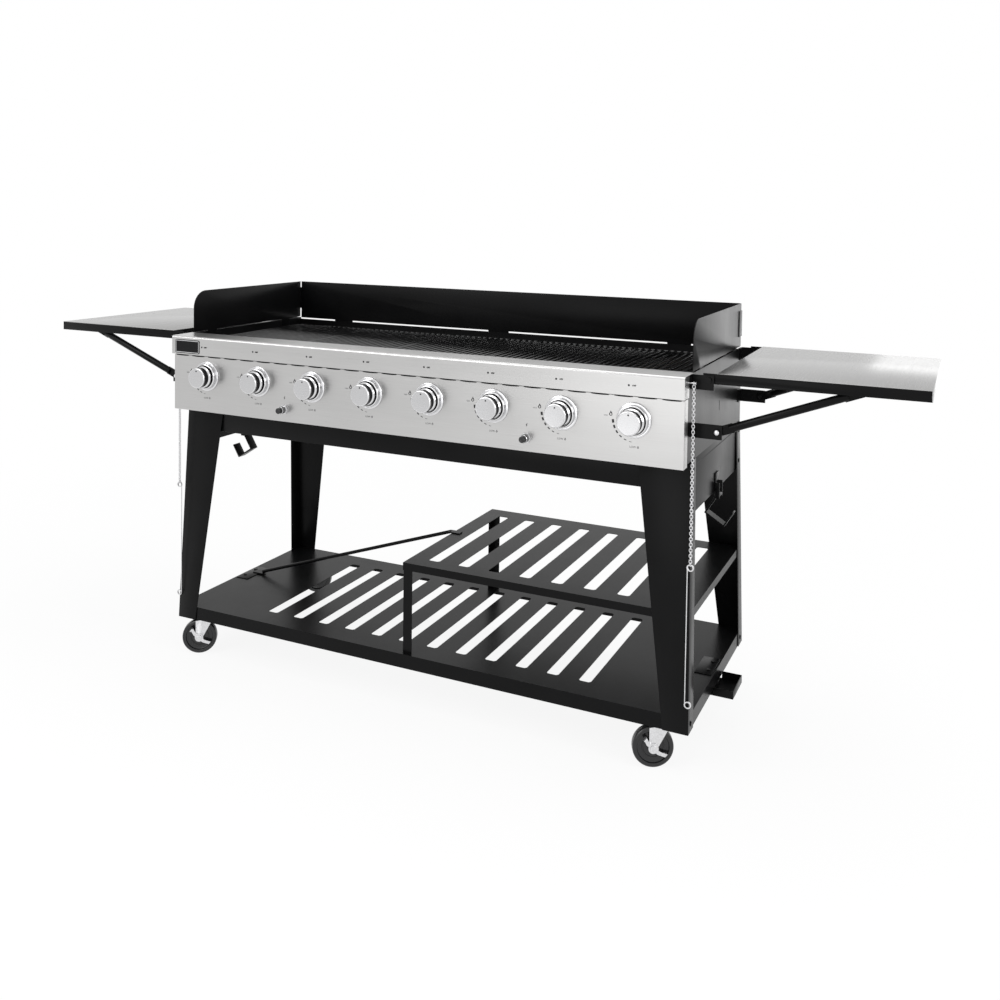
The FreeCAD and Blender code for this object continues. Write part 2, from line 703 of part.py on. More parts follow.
def make_gas_train():
    """Valves with stems and nozzles, the manifold and its inlet, burner tubes and heat tents."""
    valves, tubes, tents = [], [], []
    valve_back = d.valve_front + d.valve_depth
    for i in range(KNOBS):
        x = knob_side(i)
        body = box(
            "valve_body",
            (x - d.valve_width / 2, x + d.valve_width / 2),
            (behind(d.valve_front), behind(valve_back)),
            (knob_height - d.valve_below, knob_height + d.valve_above),
        )
        stem_front = -d.knob_reach + d.stem_tip
        stem = cylinder(
            "valve_stem",
            (x, behind(stem_front), knob_height),
            (0, 1, 0),
            d.stem_radius,
            d.valve_front - stem_front + d.sheet,
        )
        nozzle = cylinder(
            "valve_nozzle",
            (x, behind(valve_back - d.sheet), knob_height),
            (0, 1, 0),
            d.nozzle_radius,
            d.nozzle_reach + d.sheet,
        )
        valves.append(fuse("valve", [body, stem, nozzle]))
        mouth = (x, behind(d.burner_front), knob_height)
        length = fire_back - d.burner_front
        tube = cylinder("burner_outside", mouth, (0, 1, 0), d.burner_radius, length)
        hollow = cylinder("burner_inside", mouth, (0, 1, 0), d.burner_radius - d.sheet, length - d.sheet)
        tubes.append(cut("burner", tube, [hollow]))
        half = d.tent_width / 2
        tent = padded(
            f"tent_{i + 1}",
            "XZ_Plane",
            [
                (-half, 0),
                (0, d.tent_height),
                (half, 0),
                (half - d.sheet * 2, 0),
                (0, d.tent_height - d.sheet * 1.25),
                (-half + d.sheet * 2, 0),
            ],
            fire_back - fire_front - d.grate_gap * 2,
        )
        tents.append(place(tent, x, behind(fire_back - d.grate_gap), tent_base))
    manifold_z = knob_height - d.valve_below - d.manifold_radius
    pipe = cylinder(
        "manifold_pipe",
        (-d.manifold_half, behind(d.manifold_behind), manifold_z),
        (1, 0, 0),
        d.manifold_radius,
        d.manifold_half * 2,
    )
    y = behind(d.manifold_behind)
    corner = (-d.inlet_side, y, d.inlet_height)
    half = d.inlet_elbow / 2
    elbow = box("inlet_elbow", *[(middle - half, middle + half) for middle in corner])
    drop = cylinder("inlet_drop", corner, (0, 0, 1), d.inlet_radius, manifold_z - d.inlet_height)
    run = d.body_half_width + d.sheet - d.inlet_side
    inlet = cylinder("inlet_pipe", corner, (-1, 0, 0), d.inlet_radius, run)
    nipple_start = (-d.inlet_side - run, y, d.inlet_height)
    nipple = cylinder("inlet_nipple", nipple_start, (-1, 0, 0), d.nipple_radius, d.nipple_length)
    sub_part(group("valves", valves), "gas_valves")
    sub_part(fuse("manifold", [pipe, drop, elbow, inlet, nipple]), "gas_manifold")
    sub_part(group("burners", tubes), "burner_tubes")
    sub_part(group("tents", tents), "heat_tents")


def make_grates():
    """Lift-out grates: a frame with bars from front to back."""
    field = inside - d.sheet - d.grate_gap
    width = (field * 2 - d.grate_gap * (GRATES - 1)) / GRATES
    low_y = behind(fire_front + d.grate_gap)
    depth = fire_back - fire_front - d.grate_gap * 2
    pitch = (width - d.grate_bar) / (GRATE_BARS - 1)
    for i in range(GRATES):
        body = padded(
            f"grate_{i + 1}", "XY_Plane", rectangle((0, width), (0, depth)), d.grate_height
        )
        gap = outline(
            body,
            "XY_Plane",
            rectangle((d.grate_bar, pitch), (d.grate_frame, depth - d.grate_frame)),
            d.grate_height,
        )
        pocket = feature(body, "Pocket", "gap", gap, Length=d.grate_height)
        repeat(body, pocket, gap, pitch * (GRATE_BARS - 2), GRATE_BARS - 1)
        place(body, -field + (width + d.grate_gap) * i, low_y, grate_bottom)
        sub_part(body, f"cooking_grate_{i + 1}")


def repeat(body, pocket, sketch, length, count):
    """Repeat a pocket along its sketch's first axis."""
    pattern = body.newObject("PartDesign::LinearPattern", body.Name + "_pattern")
    pattern.Originals = [pocket]
    pattern.Direction = (sketch, ["H_Axis"])
    bind(pattern, "Length", length)
    pattern.Occurrences = count
    body.Tip = pattern


def make_wind_guard():
    """Back panel on three tabs, two side panels with rounded front corners, corner clips."""
    start = fire_front + d.sheet
    end = body_back - d.guard_corner_gap
    low = d.cook_top + d.guard_lift
    tab_low = low - d.guard_tab_depth
    first = start + d.guard_foot_inset
    last = end - d.guard_foot_inset
    panels = []
    for name, side in SIDES.items():
        body = padded(
            f"guard_{name}",
            "YZ_Plane",
            [
                (start, low),
                (first, low),
                (first, tab_low),
                (first + d.guard_foot, tab_low),
                (first + d.guard_foot, low),
                (last - d.guard_foot, low),
                (last - d.guard_foot, tab_low),
                (last, tab_low),
                (last, low),
                (end, low),
                (end, guard_top),
                (start, guard_top),
            ],
            d.sheet,
        )
        place(body, across(side, inside - d.sheet, inside)[0], face, 0)
        doc.recompute()
        corner = Vector(0, float(start), float(guard_top))
        pad = body.Tip
        flat = [Vector(0, edge.CenterOfMass.y, edge.CenterOfMass.z) for edge in pad.Shape.Edges]
        nearest = min(range(len(flat)), key=lambda i: flat[i].distanceToPoint(corner))
        corner_round = body.newObject("PartDesign::Fillet", f"guard_{name}_round")
        corner_round.Base = (pad, [f"Edge{nearest + 1}"])
        bind(corner_round, "Radius", d.guard_round)
        panels.append(body)
    sub_part(group("guard_sides", panels), "wind_guard_sides")

    half = inside - d.sheet - d.guard_corner_gap
    back_low = back_rim + d.guard_back_gap
    tab_end = back_low - d.guard_tab_depth
    points = [(-half, back_low)]
    for step in BACK_TABS:
        left = d.guard_tab_pitch * step - d.guard_tab / 2
        right = d.guard_tab_pitch * step + d.guard_tab / 2
        points += [(left, back_low), (left, tab_end), (right, tab_end), (right, back_low)]
    points += [(half, back_low), (half, guard_top), (-half, guard_top)]
    panel = place(padded("guard_back", "XZ_Plane", points, d.sheet), 0, behind(body_back + d.sheet), 0)
    clips = []
    clip_top = guard_top - d.guard_clip_drop
    zs = (clip_top - d.guard_clip, clip_top)
    back_y = body_back + d.sheet
    for side in SIDES.values():
        outer = across(side, inside, d.body_half_width)
        leg = box("clip_leg", outer, (behind(end - d.guard_clip_leg), behind(back_y + d.sheet)), zs)
        rear = box(
            "clip_rear",
            across(side, half - d.guard_clip_leg, d.body_half_width),
            (behind(back_y), behind(back_y + d.sheet)),
            zs,
        )
        clips.append(fuse("clip", [leg, rear]))
    sub_part(group("guard_rear", [panel] + clips), "wind_guard_back")


def make_table(name, side):
    """Stainless table top and the two black rims that hinge it to the firebox."""
    low_y, high_y = d.table_front, d.table_front + d.table_depth
    rim_in = d.rim_inset + d.rim_sheet + d.play
    block = box(
        "top_block",
        across(side, d.table_inner, d.table_outer),
        (behind(low_y), behind(high_y)),
        (rim_bottom, d.table_top),
    )
    under = (rim_bottom - d.skin, rim_top)
    hollow = box(
        "top_hollow",
        across(side, d.table_inner + d.skin, d.table_outer - d.skin),
        (behind(low_y - d.skin), behind(high_y + d.skin)),
        under,
    )
    notch_xs = across(side, d.table_inner - d.skin, d.table_inner + d.skin * 2)
    front_notch = box("top_notch", notch_xs, (behind(low_y - d.skin), behind(low_y + rim_in)), under)
    rear_notch = box("top_notch", notch_xs, (behind(high_y - rim_in), behind(high_y + d.skin)), under)
    shell = cut("top_shell", block, [hollow])
    sub_part(cut("top", shell, [front_notch, rear_notch]), f"{name}_table_top")

    rims = []
    for end in ENDS.values():
        ys = along(end, behind(table_middle), rim_offset, rim_offset + d.rim_sheet)
        bar = box(
            "rim_bar",
            across(side, d.hinge_side - d.rim_tail, d.table_outer - d.skin - d.play),
            ys,
            (rim_bottom, rim_top),
        )
        hole = cylinder(
            "rim_hole",
            (d.hinge_side * side, ys[0] - d.rim_sheet, hinge_height),
            (0, 1, 0),
            d.pin_radius + d.fit,
            d.rim_sheet * 3,
        )
        rims.append(cut("rim", bar, [hole]))
    sub_part(group("rims", rims), f"{name}_table_rims")


def make_struts(name, side):
    """Two tubes with flattened ends that hold a table up, front and rear."""
    run = float(d.strut_head_side - d.strut_foot_side)
    rise = float(d.strut_head_height - d.strut_foot_height)
    length = math.hypot(run, rise)
    tilt = math.degrees(math.atan2(rise, run * side))
    half = d.strut_eye / 2
    flat = (-d.strut_eye_sheet / 2, d.strut_eye_sheet / 2)
    inner = d.strut_eye_length - d.strut_overlap
    struts = []
    for end in ENDS.values():
        pieces = []
        for x, low, high in ((0, 0, d.strut_eye_length), (length, length - d.strut_eye_length, length)):
            pieces.append(box("strut_flat", (low, high), flat, (-half, half)))
            pieces.append(cylinder("strut_eye", (x, flat[0], 0), (0, 1, 0), half, d.strut_eye_sheet))
        tube = cylinder("tube_outside", (inner, 0, 0), (1, 0, 0), d.strut_radius, length - inner * 2)
        bore = cylinder(
            "tube_inside", (inner, 0, 0), (1, 0, 0), d.strut_radius - d.strut_wall, length - inner * 2
        )
        pieces.append(cut("strut_tube", tube, [bore]))
        pin_length = d.strut_radius + d.strut_gap - d.play
        pieces.append(cylinder("strut_pin", (length, 0, 0), (0, end, 0), d.pin_radius, pin_length))
        hole_start = (0, flat[0] * 2, 0)
        hole = cylinder("foot_hole", hole_start, (0, 1, 0), d.pin_radius + d.fit, d.strut_eye_sheet * 2)
        strut = cut("strut", fuse("strut_blank", pieces), [hole])
        place(
            strut,
            d.strut_foot_side * side,
            behind(table_middle + strut_offset * end),
            d.strut_foot_height,
            Rotation(Vector(0, -1, 0), tilt),
        )
        struts.append(strut)
    sub_part(group("struts", struts), f"{name}_table_struts")


def make_table_brackets():
    """Hinge brackets and strut brackets on the firebox sides, with their pins."""
    brackets = []
    for side in SIDES.values():
        for end in ENDS.values():
            centre = behind(table_middle)
            rim_face = rim_offset + d.rim_sheet
            brackets.append(
                bracket(
                    side,
                    end,
                    d.hinge_side,
                    hinge_height,
                    along(end, centre, rim_face + d.play, rim_face + d.play + d.bracket_sheet),
                    (bracket_top - d.bracket_height, bracket_top),
                    d.rim_sheet + d.play,
                )
            )
            eye_face = strut_offset + d.strut_eye_sheet / 2 + d.play
            brackets.append(
                bracket(
                    side,
                    end,
                    d.strut_foot_side,
                    d.strut_foot_height,
                    along(end, centre, eye_face, eye_face + d.bracket_sheet),
                    (d.strut_foot_height - d.bracket_height / 2, d.strut_foot_height + d.bracket_height / 2),
                    d.strut_eye_sheet + d.play * 2,
                )
            )
    sub_part(group("brackets", brackets), "table_brackets")


def bracket(side, end, pin_side, pin_height, ys, zs, inward):
    """A plate square to the wall with a flange on it and a pin that points inwards."""
    reach = pin_side + d.bracket_margin
    plate = box("bracket_plate", across(side, d.body_half_width, reach), ys, zs)
    rear_start = smaller(ys[1] - d.bracket_flange, behind(body_back) - d.bracket_grip)
    flange_y = (rear_start, ys[1]) if end > 0 else (ys[0], ys[0] + d.bracket_flange)
    wall_xs = across(side, d.body_half_width, d.body_half_width + d.bracket_sheet)
    flange = box("bracket_flange", wall_xs, flange_y, zs)
    outer = ys[1] if end > 0 else ys[0]
    inner = ys[0] - inward if end > 0 else ys[1] + inward
    low, high = (inner, outer) if end > 0 else (outer, inner)
    x = pin_side * side
    pin = cylinder("bracket_pin", (x, low, pin_height), (0, 1, 0), d.pin_radius, high - low)
    head_y = outer if end > 0 else outer - d.pin_head
    head = cylinder("pin_head", (x, head_y, pin_height), (0, 1, 0), d.pin_head_radius, d.pin_head)
    return fuse("bracket", [plate, flange, pin, head])


def make_frame():
    """Aprons under the firebox and four tapered legs that lean outwards."""
    front = d.leg_front + d.leg_sheet
    rear = d.leg_front + d.frame_depth - d.leg_sheet
    half = d.body_half_width
    aprons = [
        box(
            "front_apron",
            (-half, half),
            (behind(front), behind(front + d.sheet)),
            (d.front_apron_bottom, d.apron_top),
        ),
        box(
            "rear_apron",
            (-half, half),
            (behind(rear - d.sheet), behind(rear)),
            (d.rear_apron_bottom, d.apron_top),
        ),
    ]
    for side in SIDES.values():
        aprons.append(
            box(
                "side_apron",
                across(side, inside, half),
                (behind(front + d.sheet), behind(rear - d.sheet)),
                (d.side_apron_bottom, d.apron_top),
            )
        )
    sub_part(group("apron_sheets", aprons), "aprons")

    legs = []
    for side in SIDES.values():
        for end in ENDS.values():
            foot = (leg_section(side, end, d.leg_bottom, d.leg_foot), d.leg_bottom)
            head = (leg_section(side, end, d.apron_top, d.leg_head), d.apron_top)
            legs.append(lofted("leg", foot, head))
    sub_part(group("legs", legs), "cart_legs")


def leg_section(side, end, height, width):
    """The angle-shaped outline of a leg at a height, from its outer corner round."""
    outer, inner, flat = leg_side(height), leg_side(height) - d.leg_sheet, leg_side(height) - width
    y = leg_face(end, height)
    inner_y, flange_y = y - d.leg_sheet * end, y - d.leg_flange * end
    points = [(outer, y), (flat, y), (flat, inner_y), (inner, inner_y), (inner, flange_y), (outer, flange_y)]
    return [(x * side, y) for x, y in points]


def slotted_tray(name, xs, ys, top, skirt, slots, label):
    """A sheet with a folded edge and slots from front to back."""
    low_x, low_y = xs[0], ys[0]
    width, depth = xs[1] - low_x, ys[1] - low_y
    body = padded(name, "XY_Plane", rectangle((0, width), (0, depth)), skirt)
    hollow = outline(
        body,
        "XY_Plane",
        rectangle((d.sheet, width - d.sheet), (d.sheet, depth - d.sheet)),
        skirt - d.sheet,
    )
    feature(body, "Pocket", "underside", hollow, Length=skirt)
    first, front, length, count = slots
    left, right = first - d.slot_width / 2 - low_x, first + d.slot_width / 2 - low_x
    near, far = front - low_y, front + length - low_y
    corner = d.slot_corner
    slot = outline(
        body,
        "XY_Plane",
        [
            (left, near + corner),
            (left + corner, near),
            (right - corner, near),
            (right, near + corner),
            (right, far - corner),
            (right - corner, far),
            (left + corner, far),
            (left, far - corner),
        ],
        skirt,
    )
    pocket = feature(body, "Pocket", "slot", slot, Length=skirt)
    repeat(body, pocket, slot, d.slot_pitch * (count - 1), count)
    place(body, low_x, low_y, top - skirt)
    return sub_part(body, label)


def make_shelves():
    """Bottom shelf between the legs, upper shelf on the right half, and its two posts."""
    first = d.slot_pitch * (-(SHELF_SLOTS - 1) / 2)
    slotted_tray(
        "lower_tray",
        (-shelf_half, shelf_half),
        (leg_face(-1, d.shelf_top) + d.leg_sheet, leg_face(1, d.shelf_top) - d.leg_sheet),
        d.shelf_top,
        d.shelf_top - d.leg_bottom,
        (first, behind(d.slot_front), d.slot_length, SHELF_SLOTS),
        "bottom_shelf",
    )
    upper_front = leg_face(-1, d.upper_top) + d.leg_sheet
    slotted_tray(
        "upper_tray",
        (-d.upper_left, leg_side(d.upper_top) - d.leg_sheet),
        (upper_front, upper_front + d.upper_depth),
        d.upper_top,
        d.upper_skirt,
        (d.upper_slot_first, behind(d.upper_slot_front), d.upper_slot_length, UPPER_SLOTS),
        "upper_shelf",
    )
    posts = []
    zs = (d.shelf_top, d.upper_top - d.sheet)
    left = -d.upper_left + d.sheet
    for end in ENDS.values():
        centre = upper_front + d.upper_depth / 2
        edge = d.upper_depth / 2 - d.sheet
        face_ys = along(end, centre, edge - d.sheet, edge)
        side_ys = along(end, centre, edge - d.post_width, edge)
        face_sheet = box("post_face", (left, left + d.post_width), face_ys, zs)
        side_sheet = box("post_side", (left, left + d.sheet), side_ys, zs)
        posts.append(fuse("post", [face_sheet, side_sheet]))
    sub_part(group("posts", posts), "shelf_posts")


def make_exclusion_rod():
    """Diagonal rod from the bottom shelf to the upper shelf, with a flat tab at each end."""
    half = d.rod_tab_width / 2
    tab = d.rod_tab_sheet
    low_x, low_y, low_z = -d.rod_left, behind(d.rod_left_behind), d.shelf_top + d.tank_sheet
    high_x, high_y, high_z = -d.upper_left - d.rod_right, behind(d.rod_right_behind), d.upper_top
    start = (low_x, low_y, d.shelf_top + d.rod_lift)
    stop = (high_x, high_y, high_z + tab / 2)
    way = Vector(*[float(b - a) for a, b in zip(start, stop)])
    margin = d.rod_radius
    low_xs = (low_x - d.rod_tab, low_x + margin)
    high_xs = (high_x - margin, high_x + d.rod_tab)
    pieces = [
        cylinder("rod_bar", start, way, d.rod_radius, way.Length),
        box("rod_tab", low_xs, (low_y - half, low_y + half), (low_z, low_z + tab)),
        box("rod_tab", high_xs, (high_y - half, high_y + half), (high_z, high_z + tab)),
    ]
    sub_part(fuse("rod", pieces), "exclusion_rod")


def make_tank_supports():
    """Foot brackets at the shelf edges and the brackets that carry the tank hooks."""
    pieces = []
    centre = behind(d.tank_behind)
    half = d.tank_width / 2
    ys = (centre - half, centre + half)
    foot_top = d.leg_bottom - d.tank_drop
    foot_low = foot_top - d.tank_sheet
    edge_top = foot_top + d.tank_lip
    web = shelf_half - d.tank_web
    end = shelf_half + d.tank_reach
    under = (shelf_under - d.tank_sheet, shelf_under)
    plate_end = shelf_half - d.tank_plate_inset
    for side in SIDES.values():
        web_xs = across(side, web - d.tank_sheet, web)
        parts = [
            box("support_top", across(side, web - d.tank_inside, web), ys, under),
            box("support_web", web_xs, ys, (foot_low, shelf_under)),
            box("support_foot", across(side, web - d.tank_sheet, end), ys, (foot_low, foot_top)),
            box("support_lip", across(side, end - d.tank_sheet, end), ys, (foot_low, edge_top)),
        ]
        for way in ENDS.values():
            parts.append(
                box(
                    "support_edge",
                    across(side, shelf_half + d.play, end),
                    along(way, centre, half - d.tank_sheet, half),
                    (foot_low, edge_top),
                )
            )
        pieces.append(fuse("support", parts))
        plate_xs = across(side, plate_end - d.tank_plate, plate_end)
        pieces.append(box("support_plate", plate_xs, ys, (d.shelf_top, d.shelf_top + d.tank_sheet)))
        pieces.append(hook_bracket(side))
    sub_part(group("supports", pieces), "tank_supports")


def hook_place(side):
    """The hook pin's X and Z on one side."""
    return (d.body_half_width + d.hook_out) * side, d.side_apron_bottom - d.hook_drop


def hook_bracket(side):
    """A plate on the side apron with two ears and the pin between them."""
    x, z = hook_place(side)
    wall = d.body_half_width
    centre = behind(d.hook_behind)
    half = d.hook_width / 2 + d.play
    outer = half + d.bracket_sheet
    pieces = [
        box(
            "hook_plate",
            across(side, wall, wall + d.bracket_sheet),
            (centre - outer, centre + outer),
            (d.side_apron_bottom, d.side_apron_bottom + d.hook_plate),
        ),
        cylinder("hook_pin", (x, centre - outer, z), (0, 1, 0), d.pin_radius, outer * 2),
    ]
    for way in ENDS.values():
        pieces.append(
            box(
                "hook_ear",
                across(side, wall, wall + d.hook_out + d.hook_eye_radius),
                along(way, centre, half, outer),
                (z - d.hook_eye_radius, d.side_apron_bottom + d.hook_plate / 2),
            )
        )
    return fuse("hook_holder", pieces)


def make_tank_hook(name, side):
    """A strap bent to a U that swings on its pin under the side apron."""
    x, z = hook_place(side)
    half = d.hook_sheet / 2
    span = d.hook_span
    points = [
        (-half, 0),
        (-half, -d.hook_arm),
        (span - half, -d.hook_arm),
        (span - half, -d.hook_arm + d.hook_prong),
        (span - half - d.hook_sheet, -d.hook_arm + d.hook_prong),
        (span - half - d.hook_sheet, -d.hook_arm + d.hook_sheet),
        (half, -d.hook_arm + d.hook_sheet),
        (half, 0),
    ]
    strap = padded("hook_strap", "XZ_Plane", [(u * side, v) for u, v in points], d.hook_width)
    place(strap, 0, d.hook_width / 2, 0)
    eye = cylinder("hook_eye", (0, -d.hook_width / 2, 0), (0, 1, 0), d.hook_eye_radius, d.hook_width)
    hole = cylinder("hook_hole", (0, -d.hook_width, 0), (0, 1, 0), d.pin_radius + d.fit, d.hook_width * 2)
    hook = cut("hook", fuse("hook_blank", [strap, eye]), [hole])
    place(hook, x, behind(d.hook_behind), z, Rotation(Vector(0, 1, 0), HOOK_TILT * side))
    sub_part(hook, f"{name}_tank_hook")


def link_shape():
    """One chain link of round wire, standing in the XZ plane."""
    radius = float(d.wire) / 2
    bend = float(d.link_width) / 2 + radius
    straight = float(d.link_length) / 2 + radius - bend

    def corner(x, z):
        return Vector(bend * x, 0, straight * z)

    top = Vector(0, 0, straight + bend)
    path = Part.Wire(
        [
            Part.LineSegment(corner(1, -1), corner(1, 1)).toShape(),
            Part.Arc(corner(1, 1), top, corner(-1, 1)).toShape(),
            Part.LineSegment(corner(-1, 1), corner(-1, -1)).toShape(),
            Part.Arc(corner(-1, -1), -top, corner(1, -1)).toShape(),
        ]
    )
    section = Part.Circle(corner(1, -1), Vector(0, 0, 1), radius).toShape()
    return path.makePipeShell([Part.Wire(section)], True, True)


def flat_eye(x, y, z, radius, width):
    """A round eye with flat sides, facing the front."""
    start, way = Vector(x, y - width / 2, z), Vector(0, 1, 0)
    outside = Part.makeCylinder(radius + width / 2, width, start, way)
    return outside.cut(Part.makeCylinder(radius - width / 2, width, start, way))


def make_match_chain(name, side):
    """A link chain beside the trim, and the rod with an eye at each end that holds a match."""
    x, y = float(chain_side * side), float(behind(d.chain_behind))
    pitch = float(d.link_length - d.link_slack)
    count = round(float(d.chain_length) / pitch)
    if count % 2 == 0:
        count += 1
    top = float(chain_height + d.eye_pin_radius) - float(d.link_length) / 2 + float(d.link_slack) / 2
    flat = link_shape()
    links = []
    for i in range(count):
        link = flat.copy()
        if i % 2 == 0:
            link.rotate(Vector(), Vector(0, 0, 1), 90)
        link.translate(Vector(x, y, top - pitch * i))
        links.append(link)
    link_foot = top - pitch * (count - 1) - float(d.link_length) / 2
    chain = doc.addObject("Part::Feature", f"chain_{name}")
    chain.Shape = Part.makeCompound(links)
    sub_part(chain, f"{name}_match_chain")

    reach, width = float(d.rod_eye_radius), float(d.rod_eye_width)
    eye_z = link_foot + float(d.rod_eye_rise) - reach + width / 2
    foot_z = eye_z - float(d.match_rod)
    bar = Part.makeCylinder(float(d.rod_wire) / 2, eye_z - foot_z, Vector(x - reach * side, y, foot_z))
    eyes = [flat_eye(x, y, z, reach, width) for z in (eye_z, foot_z)]
    rod = doc.addObject("Part::Feature", f"match_rod_{name}")
    rod.Shape = bar.multiFuse(eyes).removeSplitter()
    sub_part(rod, f"{name}_match_rod")
    print(name, "rod's eye at", round(eye_z, 3), "its foot at", round(foot_z - reach - width / 2, 3))


def make_grease_tray():
    """A drip tray under the burners that slides out to the rear on two rails."""
    half = inside - d.sheet - d.tray_gap
    zs = (tray_floor, tray_top)
    ys = (behind(d.tray_front), behind(body_back + d.tray_tail))
    block = box("tray_block", (-half, half), ys, zs)
    hollow = box(
        "tray_hollow",
        (-half + d.skin, half - d.skin),
        (ys[0] + d.skin, ys[1] - d.skin),
        (zs[0] + d.skin, zs[1] + d.skin),
    )
    middle = zs[0] + d.tray_height / 2
    handle = box(
        "tray_handle",
        (-d.handle_width / 2, d.handle_width / 2),
        (ys[1] - d.skin, ys[1] + d.handle_reach),
        (middle, middle + d.sheet),
    )
    sub_part(fuse("tray", [cut("tray_pan", block, [hollow]), handle]), "grease_tray")
    rails = []
    rail_ys = (ys[0], behind(fire_back))
    for side in SIDES.values():
        flat = box(
            "rail_flat",
            across(side, inside - d.rail_width, inside),
            rail_ys,
            (d.tray_bottom - d.sheet, d.tray_bottom),
        )
        wall = box(
            "rail_wall",
            across(side, inside - d.sheet, inside),
            rail_ys,
            (d.tray_bottom - d.sheet, d.tray_bottom + d.tray_height),
        )
        rails.append(fuse("rail", [flat, wall]))
    sub_part(group("rails", rails), "tray_rails")


def caster_place(side, end):
    """The X and Y of a caster's swivel axis."""
    return d.caster_side * side, behind(frame_middle + caster_offset * end)


def make_casters():
    """Plates with kingpins under the shelf, swivel forks, wheels and brake pedals."""
    plate_low = shelf_under - d.caster_sheet
    crown_top = plate_low - d.play
    crown_low = crown_top - d.crown_height
    head_top = crown_low - d.play
    plates = []
    for name, (side, end, way, brake) in CASTERS.items():
        x, y = caster_place(side, end)
        plate = box(
            "caster_top",
            (x - d.caster_plate / 2, x + d.caster_plate / 2),
            (y - d.caster_plate_depth / 2, y + d.caster_plate_depth / 2),
            (plate_low, shelf_under),
        )
        head_low = head_top - d.caster_sheet
        kingpin = cylinder("kingpin", (x, y, head_low), (0, 0, 1), d.kingpin_radius, shelf_under - head_low)
        head = cylinder("kingpin_head", (x, y, head_low), (0, 0, 1), d.kingpin_head_radius, d.caster_sheet)
        plates.append(fuse("caster_mount", [plate, kingpin, head]))
        turn = Rotation(Vector(0, 0, 1), way)
        fork = place(make_fork(crown_low, crown_top, brake), x, y, 0, turn)
        sub_part(fork, f"caster_fork_{name}")
        wheel = make_wheel(name)
        offset = turn.multVec(Vector(1, 0, 0))
        axle_x, axle_y = x + d.trail * offset.x, y + d.trail * offset.y
        place(wheel, axle_x, axle_y, d.wheel_radius, turn)
        sub_part(wheel, f"caster_wheel_{name}")
        if brake:
            pedal = make_pedal(brake)
            slope = Rotation(Vector(0, 1, 0), -PEDAL_SLOPE)
            place(pedal, axle_x, axle_y, d.wheel_radius, turn.multiply(slope))
            sub_part(pedal, f"brake_pedal_{name}")
    sub_part(group("caster_mounts", plates), "caster_plates")


def fork_faces():
    """Distances from the wheel's middle to the inside and outside of a fork leg."""
    inner = d.wheel_width / 2 + d.fork_gap
    return inner, inner + d.caster_sheet


def make_fork(crown_low, crown_top, brake):
    """A swivel head with two legs and the axle, trailing along its own X axis."""
    inner, outer = fork_faces()
    head = cylinder("crown", (0, 0, crown_low), (0, 0, 1), d.crown_radius, d.crown_height)
    top = d.crown_radius / 2
    foot = d.fork_foot
    axle = d.wheel_radius
    neck = d.leg_bottom - d.play
    shoulder = neck - d.caster_sheet
    points = [
        (-top, crown_low + d.caster_sheet),
        (-top, neck),
        (-d.fork_flare, shoulder),
        (d.trail - foot, axle),
        (d.trail - foot / 2, axle - foot),
        (d.trail + foot / 2, axle - foot),
        (d.trail + foot, axle),
        (d.trail + foot, shoulder),
        (top, neck),
        (top, crown_low + d.caster_sheet),
    ]
    legs = []
    for low in (-outer, inner):
        leg = padded("fork_leg", "XZ_Plane", points, d.caster_sheet)
        legs.append(place(leg, 0, low + d.caster_sheet, 0))
    extra = d.caster_sheet + d.play * 2 if brake else d.play
    pin, ends = axle_with_heads(outer + (extra if brake < 0 else 0), outer + (extra if brake > 0 else 0))
    blank = fuse("fork_blank", [head] + legs + [pin] + ends)
    bore = cylinder(
        "crown_bore",
        (0, 0, crown_low - d.play),
        (0, 0, 1),
        d.kingpin_radius + d.fit,
        d.crown_height + d.play * 2,
    )
    return cut("fork", blank, [bore])


def axle_with_heads(low_reach, high_reach):
    """The axle of a fork with a head outside each end."""
    start = (d.trail, -low_reach, d.wheel_radius)
    pin = cylinder("axle", start, (0, 1, 0), d.axle_radius, low_reach + high_reach)
    heads = [
        cylinder("axle_head", (d.trail, y, d.wheel_radius), (0, way, 0), d.axle_head_radius, d.caster_sheet)
        for y, way in ((-low_reach, -1), (high_reach, 1))
    ]
    return pin, heads


def make_wheel(name):
    """A wheel with a bevelled tread, a recessed side and a hub."""
    half = d.wheel_width / 2
    hub = half + d.fork_gap - d.play
    bore = d.axle_radius + d.fit
    side = [
        (bore, hub),
        (d.hub_radius, hub),
        (d.hub_radius, half - d.wheel_recess),
        (d.wheel_rim, half - d.wheel_recess),
        (d.wheel_rim, half),
        (d.wheel_radius - d.wheel_edge, half),
        (d.wheel_radius, half - d.wheel_edge),
    ]
    return turned(f"wheel_{name}", side + [(r, -y) for r, y in reversed(side)])


